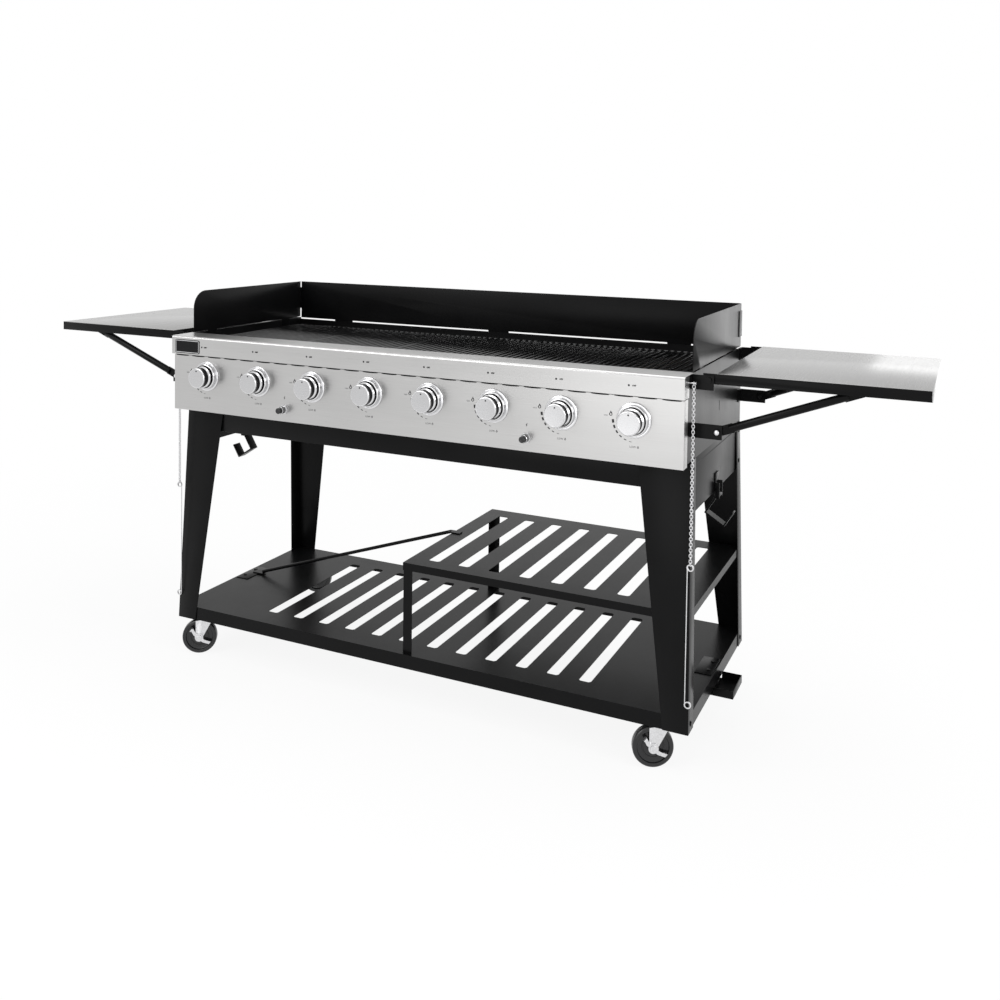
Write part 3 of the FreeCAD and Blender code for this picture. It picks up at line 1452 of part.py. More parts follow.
def make_pedal(brake):
    """A bent brake lever on the outside of a fork, with a toe to step on."""
    outer = fork_faces()[1]
    low, high = outer + d.play, outer + d.play + d.caster_sheet
    ys = (low, high) if brake > 0 else (-high, -low)
    toe_ys = (low, high + d.pedal_pad) if brake > 0 else (-high - d.pedal_pad, -low)
    reach, half, bend = d.pedal_reach, d.pedal_width / 2, d.pedal_bend
    points = [
        (-reach, bend - half),
        (-reach / 2, -half),
        (reach / 2, -half),
        (reach, bend - half),
        (reach, bend + half),
        (reach / 2, half),
        (-reach / 2, half),
        (-reach, bend + half),
    ]
    eye_radius = d.axle_head_radius + d.pin_radius
    eye = cylinder("pedal_eye", (0, ys[0], 0), (0, 1, 0), eye_radius, d.caster_sheet)
    lever = place(padded("pedal_lever", "XZ_Plane", points, d.caster_sheet), 0, ys[1], 0)
    toe = box("pedal_toe", (reach - d.caster_sheet, reach), toe_ys, (bend - half, bend + half))
    hole_start = (0, ys[0] - d.play, 0)
    hole_length = d.caster_sheet + d.play * 2
    hole = cylinder("pedal_hole", hole_start, (0, 1, 0), d.axle_radius + d.fit, hole_length)
    return cut("pedal", fuse("pedal_blank", [eye, lever, toe]), [hole])


def bolt(start, axis):
    """A hexagon bolt head standing on a surface."""
    head = doc.addObject("Part::Prism", "bolt")
    head.Polygon = 6
    bind(head, "Circumradius", d.bolt_radius)
    bind(head, "Height", d.bolt_head)
    return place(head, *start, Rotation(Vector(0, 0, 1), Vector(*axis)))


def make_fasteners():
    """Bolt heads on the legs and tank supports, and the pins that carry the match chains."""
    bolts = []
    margin = d.leg_flange / 2
    low = d.leg_bottom + (d.shelf_top - d.leg_bottom) / 2
    rise = float(d.apron_top - d.leg_bottom)
    pin_start = d.body_half_width
    pin_length = d.chain_out + d.wire * 2
    for side in SIDES.values():
        outwards = (rise * side, 0, float(d.leg_spread))
        for end in ENDS.values():
            for z in (low, d.side_apron_bottom + margin, d.apron_top - margin):
                flange_y = leg_face(end, z) - margin * end
                bolts.append(bolt((leg_side(z) * side, flange_y, z), outwards))
            plate_y = behind(d.tank_behind) + d.tank_width / 4 * end
            plate_x = (shelf_half - d.tank_bolt_inset) * side
            bolts.append(bolt((plate_x, plate_y, d.shelf_top + d.tank_sheet), (0, 0, 1)))
        y = behind(d.chain_behind)
        out = (side, 0, 0)
        pin = cylinder("chain_pin", (pin_start * side, y, chain_height), out, d.eye_pin_radius, pin_length)
        head_start = ((pin_start + pin_length) * side, y, chain_height)
        head = cylinder("chain_pin_head", head_start, out, d.eye_pin_head, d.wire)
        bolts.append(fuse("chain_hanger", [pin, head]))
    sub_part(group("bolts", bolts), "fasteners")


def make_grill():
    """Every sub-part of the grill."""
    make_firebox()
    make_front_trim()
    make_control_panel()
    make_knobs()
    make_bezels_and_buttons()
    make_gas_train()
    make_grates()
    make_wind_guard()
    for name, side in SIDES.items():
        make_table(name, side)
        make_struts(name, side)
        make_tank_hook(name, side)
        make_match_chain(name, side)
    make_table_brackets()
    make_frame()
    make_shelves()
    make_exclusion_rod()
    make_tank_supports()
    make_grease_tray()
    make_casters()
    make_fasteners()


def check_and_write():
    """Stop on any failed object, then write each sub-part to its own file."""
    doc.recompute()
    for item in doc.Objects:
        if {"Invalid", "Error"} & set(item.State):
            raise RuntimeError(f"{item.Name} failed: {item.State}")
    for part in sub_parts:
        if part.Shape.isNull() or not part.Shape.isValid() or not part.Shape.Solids:
            raise RuntimeError(f"{part.Label} has no valid solid")
    os.makedirs("parts", exist_ok=True)
    for part in sub_parts:
        part.Shape.exportStep(f"parts/{part.Label}.step")
    print(len(sub_parts), "sub-parts written")


make_grill()
check_and_write()
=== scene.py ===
import json
import math
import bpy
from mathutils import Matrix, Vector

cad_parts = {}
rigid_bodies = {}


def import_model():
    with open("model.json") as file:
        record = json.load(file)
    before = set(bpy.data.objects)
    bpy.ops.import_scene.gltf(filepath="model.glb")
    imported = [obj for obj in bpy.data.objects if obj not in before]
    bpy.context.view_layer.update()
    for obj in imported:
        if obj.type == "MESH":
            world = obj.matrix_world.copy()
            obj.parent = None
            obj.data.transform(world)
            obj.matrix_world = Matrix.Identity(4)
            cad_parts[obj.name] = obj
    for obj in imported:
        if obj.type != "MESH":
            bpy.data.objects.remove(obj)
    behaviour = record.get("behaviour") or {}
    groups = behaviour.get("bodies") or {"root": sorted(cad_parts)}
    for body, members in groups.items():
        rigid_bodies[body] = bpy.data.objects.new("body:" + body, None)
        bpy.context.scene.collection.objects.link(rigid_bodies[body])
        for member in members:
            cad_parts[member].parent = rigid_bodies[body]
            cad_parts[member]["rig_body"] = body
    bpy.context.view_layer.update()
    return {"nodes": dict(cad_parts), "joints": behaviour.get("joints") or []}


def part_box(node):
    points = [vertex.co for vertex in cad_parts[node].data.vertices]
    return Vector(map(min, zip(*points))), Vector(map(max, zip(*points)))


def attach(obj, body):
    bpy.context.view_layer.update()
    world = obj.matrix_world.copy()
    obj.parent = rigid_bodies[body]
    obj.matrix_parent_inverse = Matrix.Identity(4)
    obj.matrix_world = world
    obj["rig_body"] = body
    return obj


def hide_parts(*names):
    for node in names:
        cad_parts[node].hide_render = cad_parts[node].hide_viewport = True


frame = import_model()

from fnmatch import fnmatch

import bmesh
import bpy
from mathutils import Matrix, Vector

bl_info = {
    "name": "Event gas grill",
    "version": (1, 0, 0),
    "blender": (4, 5, 0),
    "location": "View3D > Sidebar > Grill",
    "description": "Dresses the packed gas grill with its finishes, controls, printed dials and studio",
    "category": "Object",
}

NODES = frame["nodes"]
JOINTS = {joint["name"]: joint for joint in frame["joints"]}
PANEL_LOW, PANEL_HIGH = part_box("control_panel")
TRIM_LOW, TRIM_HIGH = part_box("front_trim")
KNOBS = [f"burner_knob_{i + 1}" for i in range(8)]
GRATES = [f"cooking_grate_{i + 1}" for i in range(5)]
CASTERS = ("front_left", "front_right", "rear_left", "rear_right")
BRAKES = ("front_left", "front_right")
SIDES = {"left": -1, "right": 1}
MM = 0.001
WELD = MM / 1000
QUARTER = math.radians(90)
SMOOTH_ANGLE = math.radians(35)
FLAT_ANGLE = math.radians(0.5)
EDGE_ANGLE = math.radians(40)
EDGE_STEPS = 2
CORNER_STEPS = 6
HEX_SIDES = 6
DOT_SIDES = 24
# Stands a shape that is drawn in X and Y upright, so that its local Z axis points to the front
UPRIGHT = Matrix.Rotation(QUARTER, 4, "X")

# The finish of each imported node, by the first pattern that fits its name
NODE_FINISHES = {
    "chrome": ("burner_knob_*", "control_bezels"),
    "plastic": ("igniter_button_*",),
    "enamel": ("cooking_grate_*",),
    "table": ("*_table_top",),
    "wheel": ("caster_wheel_*",),
    "zinc": ("caster_fork_*", "caster_plates", "brake_pedal_*", "*match_*", "tray_rails"),
    "panel": ("front_trim", "control_panel", "grease_tray"),
    "hot": ("burner_tubes", "heat_tents"),
    "brass": ("gas_manifold", "gas_valves"),
    "coat": ("*",),
}

# Turned outlines in millimetres: radius, height, and the finish of the surface that ends there
# On a knob, finish 1 is painted dark reflection on the chrome sides and painted shade in the bore and on
# the back; 0 is chrome and 2 the satin cap
KNOB_OUTLINE = (
    (0, 39.4), (4.2, 39.4, 1), (4.2, 13.5, 1), (28, 13.5, 1), (30, 13.9, 1), (30.4, 14.8, 1),
    (30.4, 19.2, 1), (31, 19.8, 0), (31, 20.8, 0), (30.4, 21.8, 0), (28.6, 24.2, 0), (27.6, 25.2, 0),
    (27.2, 25.8, 1), (26.8, 30, 1), (26.6, 38.6, 1), (27, 39.8, 1), (27.8, 40.3, 0), (28.2, 41, 0),
    (28.2, 42.6, 0), (27.7, 43.8, 0), (26.7, 44.5, 0), (25.8, 44.6, 0), (25.4, 44.2, 2), (24, 44.15, 2),
    (0, 44.2, 2),
)
# On a bezel, finish 1 is painted shade on the collar's inner wall, on the face under the knob and in the
# bore
BEZEL_OUTLINE = (
    (4.6, 0.3), (41.2, 0.3, 0), (42, 0.9, 0), (42, 1.7, 0), (41.4, 2.7, 0), (40.2, 3.3, 0), (38.8, 3.4, 0),
    (38.3, 2.4, 0), (36.9, 2.4, 0), (36.4, 3.8, 0), (36.1, 9, 0), (35.5, 11.6, 0), (34.2, 12.8, 0),
    (32.8, 13, 0), (32, 12.5, 0), (31.7, 10.5, 1), (4.6, 10.5, 1), (4.6, 0.3, 1),
)
NUT_OUTLINE = (
    (10.1, 0.2), (12.3, 0.2, 0), (13, 0.8, 0), (13, 5.1, 0), (12.2, 5.8, 0), (10.1, 5.8, 0), (10.1, 0.2, 0),
)
# On an igniter barrel, finish 1 is painted shade in the button's well, in the thread grooves and on the
# foot inside the panel
BARREL_MOUTH = ((0, -0.4), (8.05, -0.4, 1), (8.05, 19.4, 1), (8.5, 19.9, 0), (9.4, 20, 0), (10, 19.3, 0))
BARREL_FOOT = ((10, 0.3, 0), (9.6, 0.2, 0), (9.6, -40, 1), (0, -40, 1))
# Both flanks of a thread's groove are dark: painted shade
THREAD_OUTLINE = ((10, 0, 0), (9.3, -0.7, 1), (10, -1.4, 1))
THREAD_TOP = 18.4
THREAD_PITCH = 2
THREAD_TURNS = 6
BUTTON_OUTLINE = (
    (0, 8), (7.6, 8), (8, 8.4), (8, 27.4), (7.7, 28.6), (6.9, 29.3), (5.6, 29.5), (5, 29.3), (3, 29.1),
    (0, 29),
)
WHEEL_OUTLINE = (
    (5.1, 13.1), (12.6, 13.1), (13.6, 12.7), (14, 11.8), (14.4, 8.4), (15.6, 7.6), (23.6, 7.4), (24.2, 8.3),
    (26.4, 8.3), (27, 7.4), (35, 7.4), (37, 8.2), (38, 10), (38.6, 11.5), (40, 12), (44.6, 12), (47, 11.2),
    (48.5, 9.4), (49, 7), (49, 1), (48.6, 0.6),
)
CAP_OUTLINE = ((0, -0.6), (5.8, -0.6), (6, 0.2), (5.6, 0.9), (4.4, 1.6), (2.2, 2), (0, 2.1))
CAP_SIDES = 32
# A chain pin's outline from its foot and from its tip
PIN_FOOT = ((0, 0), (4, 0), (4, 1), (1.6, 1.6))
PIN_TIP = ((1.6, -1.9), (3.2, -1.9), (4, -1.2), (2.8, -0.3), (0, 0))
PIN_SIDES = 24
# Sides, width and height in millimetres of a bolt's washer, hexagon and crown
BOLT_LAYERS = ((20, 12.5, 1.2), (HEX_SIDES, 10.5, 4), (20, 8.6, 4.5))
SLOT_SIDES = 16

# Printed shapes in a square of one by one, and their sizes and places across and up from an axis in metres
FLAME = (
    (0.02, 0.5), (0.12, 0.3), (0.27, 0.1), (0.34, -0.1), (0.31, -0.29), (0.2, -0.43), (0, -0.5),
    (-0.2, -0.43), (-0.32, -0.28), (-0.31, -0.08), (-0.2, 0.08), (-0.1, 0.22), (-0.05, 0.36),
)
BOLT_OF_LIGHT = (
    (0.14, 0.5), (-0.2, -0.05), (-0.02, -0.05), (-0.12, -0.5), (0.24, 0.1), (0.04, 0.1), (0.24, 0.5),
)
FLAME_HOLE = 0.52
FLAME_SINK = 0.12
HIGH_FLAME = (0.0125, -0.0565, 0.0115)
LOW_FLAME = (0.0068, 0.0105, -0.0615)
FLASH = (0.0105, 0, 0.031)
HIGH_SHARE = 0.62
HIGH_WORD = (-0.0685, 0.006)
LOW_WORD = (-0.002, -0.062)
OFF_SHARE = 0.8
OFF_WORD = 0.002
OFF_DOT = -0.011
OFF_DOT_RADIUS = 0.0025
OFF_DROP = 0.002

# Place and half width in degrees, and thickness in millimetres, of the dial's first and last dash
FIRST_DASH = (187, 4.6, 5.4)
LAST_DASH = (261, 3.2, 1.1)

# These marks are painted shade: dark strips for the shadow in the joint and in the slot
# Front, rear, foot and top of the marks on a side wall in millimetres: the joint from the aprons' ends and
# top, the slot from their middle and top
WALL_JOINT = (8, -48, -18.3, -15.7)
WALL_SLOT = (14.6, 19.4, 72, 98)
WALL_SUNK = 0.1 * MM
WALL_THICK = 0.3 * MM

# Inset and height in millimetres, and the finish, of the badge's layers
BADGE_LAYERS = ((0, 0.9, 1), (2.2, 1.2, 0), (3.8, 1.5, 1))

# Name, place, target, size and power of each lamp
LAMPS = (
    ("key", (-2.6, -3.6, 3.6), (0, 0, 0.6), 2.6, 80),
    ("top", (0.4, 0.4, 3.6), (0, 0, 0.5), 3.0, 55),
    ("side", (4.2, -0.6, 2.0), (0, 0, 0.6), 2.2, 60),
    ("front", (0.0, -3.6, 0.7), (0.3, 0, 0.8), 1.7, 10),
    ("rim", (1.7, 3.7, 0.8), (0.6, 0, 0.7), 1.8, 9),
)
# The camera's frame in millimetres, and the farthest distance it sees in metres
SENSOR = 36
FAR_CLIP = 200


# Settings

def colour_setting(name, description, default):
    """A colour setting."""
    return bpy.props.FloatVectorProperty(
        name=name, description=description, default=default, subtype="COLOR", size=3, min=0, max=1,
    )


def size_setting(name, description, default, unit="LENGTH"):
    """A setting in metres, or a plain one when its unit is NONE."""
    return bpy.props.FloatProperty(name=name, description=description, default=default, unit=unit)


def count_setting(name, description, default, least):
    """A whole number setting."""
    return bpy.props.IntProperty(name=name, description=description, default=default, min=least)


class GrillFinish(bpy.types.PropertyGroup):
    """Colours of the grill's finishes."""

    coat: colour_setting("Powder coat", "Black coat on the sheet metal", (0.0032, 0.0032, 0.0034))
    stainless: colour_setting("Stainless", "Brushed stainless sheet", (0.52, 0.517, 0.513))
    chrome: colour_setting("Chrome", "Knobs, bezels and igniters", (0.72, 0.72, 0.73))
    zinc: colour_setting("Zinc", "Plated forks, chains and bolts", (0.72, 0.72, 0.73))
    enamel: colour_setting("Grate enamel", "Glossy coat on the cooking grates", (0.004, 0.004, 0.0042))
    ink: colour_setting("Ink", "Printed dial marks", (0.01, 0.01, 0.011))


class GrillSizes(bpy.types.PropertyGroup):
    """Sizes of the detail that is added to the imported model."""

    dial_radius: size_setting("Dial radius", "Middle of the printed dashes from the knob's axis", 0.051)
    dashes: count_setting("Dashes", "Printed dashes from high to low", 6, 2)
    letter: size_setting("Letter height", "Printed words under the knobs", 0.0046)
    print_lift: size_setting("Print lift", "Printed marks in front of the sheet", 0.00012)
    # The seam's slots are drawn as dark plates: painted shade in the seam
    seam_pitch: size_setting("Seam pitch", "Distance between the slots under the trim", 0.0575)
    seam_slot: size_setting("Seam slot", "Length of a slot under the trim", 0.047)
    badge_width: size_setting("Badge width", "Blank plate on the trim", 0.088)
    badge_height: size_setting("Badge height", "Blank plate on the trim", 0.039)
    badge_corner: size_setting("Badge corner", "Radius of the blank plate's corners", 0.005)
    badge_inward: size_setting("Badge place", "Middle of the plate from the trim's left end", 0.0567)
    badge_drop: size_setting("Badge drop", "Blank plate below the middle of the trim", 0.003)
    bar_width: size_setting("Bar width", "Width of a grate's bar", 0.01)
    end_width: size_setting("End bar width", "Width of a grate's end bar", 0.014)
    bar_round: size_setting("Bar rounding", "Radius of the bars' long edges", 0.0044)
    bars: count_setting("Bars", "Bars in a grate", 16, 3)
    edge: size_setting("Edge radius", "Rounding of sheet metal edges", 0.0005)
    segments: count_setting("Turned segments", "Sides of a turned piece", 72, 12)


class GrillStage(bpy.types.PropertyGroup):
    """Camera and light of the studio."""

    eye: bpy.props.FloatVectorProperty(
        name="Camera place", description="Camera in the grill's frame", subtype="TRANSLATION",
        size=3, default=(1.337, -2.5262, 1.303),
    )
    aim: bpy.props.FloatVectorProperty(
        name="Camera turn", description="Yaw, pitch and roll", subtype="EULER", size=3,
        default=(math.radians(-25.24), math.radians(-2.17), math.radians(0.75)),
    )
    lens: size_setting("Lens", "Focal length in millimetres on a 36 mm frame", 36.554, "NONE")
    rise: size_setting("Vertical shift", "Camera shift that puts the horizon high", -0.25, "NONE")
    fill: size_setting("Fill", "Strength of the even light from all round", 0.62, "NONE")
    floor: size_setting("Floor", "Half of the floor's width", 30)
    shadow: bpy.props.FloatVectorProperty(
        name="Shadow", description="Where the shadow begins to fade and where it ends", size=2,
        default=(1.2, 3.2),
    )


# Node trees

class Wire:
    """A node's output that takes part in Python arithmetic."""

    def __init__(self, graph, socket):
        self.graph = graph
        self.socket = socket

    def _sum(self, operation, other):
        return self.graph.node("ShaderNodeMath", {0: self, 1: other}, operation=operation)

    def __add__(self, other):
        return self._sum("ADD", other)

    def __sub__(self, other):
        return self._sum("SUBTRACT", other)

    def __mul__(self, other):
        return self._sum("MULTIPLY", other)

    def __gt__(self, other):
        return self._sum("GREATER_THAN", other)

    __radd__ = __add__
    __rmul__ = __mul__


class Graph:
    """A node tree under construction."""

    def __init__(self, tree):
        self.tree = tree

    def node(self, kind, inputs=None, output=0, **settings):
        """Add a node, set it up, feed its sockets and give back one of its outputs."""
        made = self.tree.nodes.new(kind)
        for key, value in settings.items():
            setattr(made, key, value)
        for key, value in (inputs or {}).items():
            self.feed(made.inputs[key], value)
        return Wire(self, made.outputs[output])

    def feed(self, socket, value):
        """Link or set one socket."""
        if isinstance(value, Wire):
            self.tree.links.new(value.socket, socket)
        else:
            socket.default_value = value


# Finishes

class Paint(Graph):
    """A material or a world."""

    def __init__(self, name, family="materials"):
        self.owner = getattr(bpy.data, family).new(name)
        self.owner.use_nodes = True
        super().__init__(self.owner.node_tree)
        self.shader = self.tree.nodes.get("Principled BSDF")

    def surface(self, **values):
        """Feed the main shader by socket name, with underscores for spaces."""
        for key, value in values.items():
            self.feed(self.shader.inputs[key.replace("_", " ")], value)
        return self.owner

    def place(self, scale=(1, 1, 1)):
        """Object coordinates, stretched."""
        coords = self.node("ShaderNodeTexCoord", output="Object")
        return self.node("ShaderNodeMapping", {"Vector": coords, "Scale": scale})

    def noise(self, size, scale=(1, 1, 1), detail=2.0):
        """Noise with features of about this size in metres."""
        inputs = {"Vector": self.place(scale), "Scale": 1 / size, "Detail": detail}
        return self.node("ShaderNodeTexNoise", inputs, "Fac")

    def blend(self, factor, first, second):
        """A colour between two colours."""
        sockets = {0: factor, 6: rgba(first), 7: rgba(second)}
        return self.node("ShaderNodeMix", sockets, 2, data_type="RGBA")

    def bump(self, height, distance, strength=1.0):
        """A normal raised by a height between 0 and 1."""
        inputs = {"Height": height, "Distance": distance, "Strength": strength}
        return self.node("ShaderNodeBump", inputs)


def rgba(colour):
    """A colour with alpha, or a wire as it is."""
    return colour if isinstance(colour, Wire) else (*colour[:3], 1)


def shade(colour, factor):
    """A colour made darker or lighter."""
    return tuple(min(1.0, part * factor) for part in colour)


def powder_coat(name, colour):
    """Semi-gloss black coat with a fine orange peel and faint handling marks."""
    paint = Paint(name)
    peel = paint.noise(0.0016)
    cloud = paint.noise(0.09, detail=4.0)
    scuff = paint.noise(0.012, (1, 1, 0.2), 3.0)
    return paint.surface(
        Base_Color=paint.blend(cloud, shade(colour, 0.75), shade(colour, 1.5)),
        Roughness=0.23 + 0.1 * cloud + 0.04 * scuff,
        Specular_IOR_Level=0.11,
        Normal=paint.bump(peel, 0.00006, 0.5),
    )


def brushed_steel(name, colour, roughness, along=0):
    """Stainless sheet with fine lines along one axis and soft cloudy tone."""
    paint = Paint(name)
    stretch = [1.0, 1.0, 1.0]
    stretch[along] = 0.012
    lines = paint.noise(0.0011, stretch, 3.0)
    bands = paint.noise(0.03, [part if part < 1 else 0.7 for part in stretch], 2.0)
    cloud = paint.noise(0.22, detail=2.0)
    mixed = 0.45 * lines + 0.3 * bands + 0.25 * cloud
    return paint.surface(
        Base_Color=paint.blend(mixed, shade(colour, 0.8), shade(colour, 1.16)),
        Metallic=1.0,
        Roughness=roughness + 0.16 * lines + 0.06 * cloud - 0.1,
        Normal=paint.bump(lines, 0.00003, 0.35),
    )


def chrome_plate(name, colour):
    """Polished plating with faint smears."""
    paint = Paint(name)
    smear = paint.noise(0.018, (1, 1, 0.4), 3.0)
    fine = paint.noise(0.002, detail=1.0)
    return paint.surface(
        Base_Color=paint.blend(smear, shade(colour, 0.94), shade(colour, 1.04)),
        Metallic=1.0,
        Roughness=0.07 + 0.06 * smear,
        Normal=paint.bump(fine, 0.00002, 0.2),
    )


def zinc_plate(name, colour):
    """Bright plated steel with a faint spangle."""
    paint = Paint(name)
    cells = {"Vector": paint.place(), "Scale": 260.0}
    spangle = paint.node("ShaderNodeTexVoronoi", cells, "Distance", feature="F1")
    cloud = paint.noise(0.008, detail=3.0)
    return paint.surface(
        Base_Color=paint.blend(0.5 * spangle + 0.5 * cloud, shade(colour, 0.75), shade(colour, 1.2)),
        Metallic=1.0,
        Roughness=0.24 + 0.14 * cloud,
        Normal=paint.bump(cloud, 0.00005, 0.3),
    )


def gloss_black(name, colour, roughness, specular=0.5):
    """Moulded or enamelled black with a slightly uneven skin."""
    paint = Paint(name)
    skin = paint.noise(0.006, detail=3.0)
    fine = paint.noise(0.0009, detail=1.0)
    return paint.surface(
        Base_Color=paint.blend(skin, shade(colour, 0.7), shade(colour, 1.5)),
        Roughness=roughness + 0.12 * skin - 0.05,
        Specular_IOR_Level=specular,
        Normal=paint.bump(fine, 0.00004, 0.35),
    )


def heated_steel(name, colour):
    """Steel inside the firebox with heat tint."""
    paint = Paint(name)
    heat = paint.noise(0.12, (1, 0.5, 1), 3.0)
    grain = paint.noise(0.002, (1, 0.1, 1), 2.0)
    straw = tuple(part * share for part, share in zip(colour, (0.95, 0.82, 0.66)))
    return paint.surface(
        Base_Color=paint.blend(heat, shade(colour, 0.55), straw),
        Metallic=1.0,
        Roughness=0.38 + 0.2 * heat,
        Normal=paint.bump(grain, 0.00005, 0.4),
    )


def machined_brass(name):
    """Cut brass with lathe lines."""
    paint = Paint(name)
    lines = paint.noise(0.0015, (1, 0.2, 1), 2.0)
    return paint.surface(
        Base_Color=paint.blend(lines, (0.55, 0.4, 0.17), (0.78, 0.6, 0.3)),
        Metallic=1.0,
        Roughness=0.28 + 0.16 * lines,
        Normal=paint.bump(lines, 0.00004, 0.4),
    )


def printed_ink(name, colour):
    """Matt ink with slightly uneven cover."""
    paint = Paint(name)
    cover = paint.noise(0.0012, detail=2.0)
    return paint.surface(
        Base_Color=paint.blend(cover, colour, shade(colour, 2.5)),
        Roughness=0.55 + 0.2 * cover,
        Specular_IOR_Level=0.3,
    )


FINISH = {}


def finish_of(name):
    """A finish by name, made on first use."""
    tones = bpy.context.scene.grill_finish
    makers = {
        "coat": lambda: powder_coat("black_powder_coat", tones.coat),
        "panel": lambda: brushed_steel("panel_stainless", tones.stainless, 0.3),
        # The panel's stainless made darker: painted shade on the table tops
        "table": lambda: brushed_steel("table_stainless", shade(tones.stainless, 0.68), 0.24, 1),
        "chrome": lambda: chrome_plate("bright_chrome", tones.chrome),
        "zinc": lambda: zinc_plate("bright_zinc", tones.zinc),
        "enamel": lambda: gloss_black("grate_enamel", tones.enamel, 0.16),
        "plastic": lambda: gloss_black("black_plastic", tones.ink, 0.25),
        "wheel": lambda: gloss_black("wheel_plastic", shade(tones.ink, 0.8), 0.2),
        # Dark gloss with a weak sheen: painted dark reflection on the knobs' sides, painted shade in the
        # seam slots, bores, wells and thread grooves, and the badge's own black
        "waist": lambda: gloss_black("knob_waist", shade(tones.ink, 0.6), 0.2, 0.14),
        "hot": lambda: heated_steel("heated_steel", tones.stainless),
        "brass": lambda: machined_brass("valve_brass"),
        "cap": lambda: brushed_steel("knob_satin", shade(tones.chrome, 0.78), 0.26),
        # The ink also serves as painted shade in the side walls' joints and slots
        "ink": lambda: printed_ink("dial_ink", tones.ink),
    }
    if name not in FINISH:
        FINISH[name] = makers[name]()
    return FINISH[name]


# Mesh making

def settle(piece, body, replaced=()):
    """Hand a finished piece to its body."""
    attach(piece, body)
    if replaced:
        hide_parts(*replaced)


def linked(name, data):
    """A new object in the scene."""
    made = bpy.data.objects.new(name, data)
    bpy.context.scene.collection.objects.link(made)
    return made


def evaluated(holder):
    """The plain mesh that an object's letters or modifiers give. The object itself goes."""
    graph = bpy.context.evaluated_depsgraph_get()
    mesh = bpy.data.meshes.new_from_object(holder.evaluated_get(graph))
    bpy.data.objects.remove(holder)
    return mesh


def plain_mesh(name, bm):
    """Turn a bmesh into a mesh."""
    mesh = bpy.data.meshes.new(name)
    bm.to_mesh(mesh)
    bm.free()
    return mesh


def paint_mesh(mesh, *finishes):
    """Give a mesh its finishes. To clear an empty list would turn every face to the first finish."""
    if mesh.materials:
        mesh.materials.clear()
    for finish in finishes:
        mesh.materials.append(finish_of(finish))


def mesh_object(name, mesh, *finishes):
    """An object at the origin with its finishes, and with sharp shading only at its edges."""
    mesh.shade_smooth()
    mesh.set_sharp_from_angle(angle=SMOOTH_ANGLE)
    paint_mesh(mesh, *finishes)
    return linked(name, mesh)


def from_bmesh(name, bm, *finishes):
    """Turn a bmesh into an object with its faces outward."""
    bmesh.ops.remove_doubles(bm, verts=bm.verts, dist=WELD)
    bmesh.ops.recalc_face_normals(bm, faces=bm.faces)
    return mesh_object(name, plain_mesh(name, bm), *finishes)


def circle(radius, sides):
    """Points round a circle."""
    turns = [math.tau * i / sides for i in range(sides)]
    return [(radius * math.cos(a), radius * math.sin(a)) for a in turns]


def lathe(bm, profile, matrix, segments):
    """Turn points of radius, height and an optional finish index about a local Z axis."""
    rings = []
    for radius, height, *_ in profile:
        spots = circle(radius, segments) if radius else [(0, 0)]
        rings.append([bm.verts.new(matrix @ Vector((*spot, height))) for spot in spots])
    for (_, _, *finish), near, far in zip(profile[1:], rings, rings[1:]):
        for i in range(segments):
            j = (i + 1) % segments
            corners = [near[i % len(near)], near[j % len(near)], far[j % len(far)], far[i % len(far)]]
            unique = list(dict.fromkeys(corners))
            if len(unique) > 2:
                bm.faces.new(unique).material_index = finish[0] if finish else 0


def in_metres(outline):
    """A turned outline with its radius and height in metres."""
    return [(radius * MM, height * MM, *rest) for radius, height, *rest in outline]


def forward(x, z):
    """A matrix whose local Z axis points out of the panel face at a place on it."""
    return Matrix.Translation((x, PANEL_LOW.y, z)) @ UPRIGHT


def on_panel(node):
    """The panel's matrix in front of the middle of a node."""
    low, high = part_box(node)
    return forward((low.x + high.x) / 2, (low.z + high.z) / 2)


def shifted(points, size, u=0.0, v=0.0):
    """An outline scaled and moved."""
    return [(u + size * x, v + size * y) for x, y in points]


def rounded_plate(half_width, half_height, radius):
    """Points round a plate with round corners."""
    points = []
    for i, (u, v) in enumerate(((1, 1), (-1, 1), (-1, -1), (1, -1))):
        for step in range(CORNER_STEPS + 1):
            angle = QUARTER * (i + step / CORNER_STEPS)
            x = u * (half_width - radius) + radius * math.cos(angle)
            points.append((x, v * (half_height - radius) + radius * math.sin(angle)))
    return points


def flat_shape(bm, points, matrix, depth, finish=0):
    """A plate with a flat outline and one finish."""
    back, front = ([bm.verts.new(matrix @ Vector((*point, w))) for point in points] for w in (0, depth))
    sides = [(back[i - 1], back[i], front[i], front[i - 1]) for i in range(len(points))]
    for corners in (back[::-1], front, *sides):
        bm.faces.new(corners).material_index = finish


def clean_copy(node):
    """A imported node's mesh as a bmesh with its loose triangles merged."""
    bm = bmesh.new()
    bm.from_mesh(NODES[node].data)
    bmesh.ops.remove_doubles(bm, verts=bm.verts, dist=WELD)
    return bm


def box_of(verts):
    """The low and high corners of some vertices."""
    spread = list(zip(*(vert.co for vert in verts)))
    return Vector([min(line) for line in spread]), Vector([max(line) for line in spread])


def islands(node):
    """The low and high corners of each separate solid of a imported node."""
    bm = clean_copy(node)
    left = set(bm.verts)
    boxes = []
    while left:
        reached = [left.pop()]
        for vert in reached:
            near = {edge.other_vert(vert) for edge in vert.link_edges} & left
            left -= near
            reached.extend(near)
        boxes.append(box_of(reached))
    bm.free()
    return sorted(boxes, key=lambda pair: tuple(pair[0]))


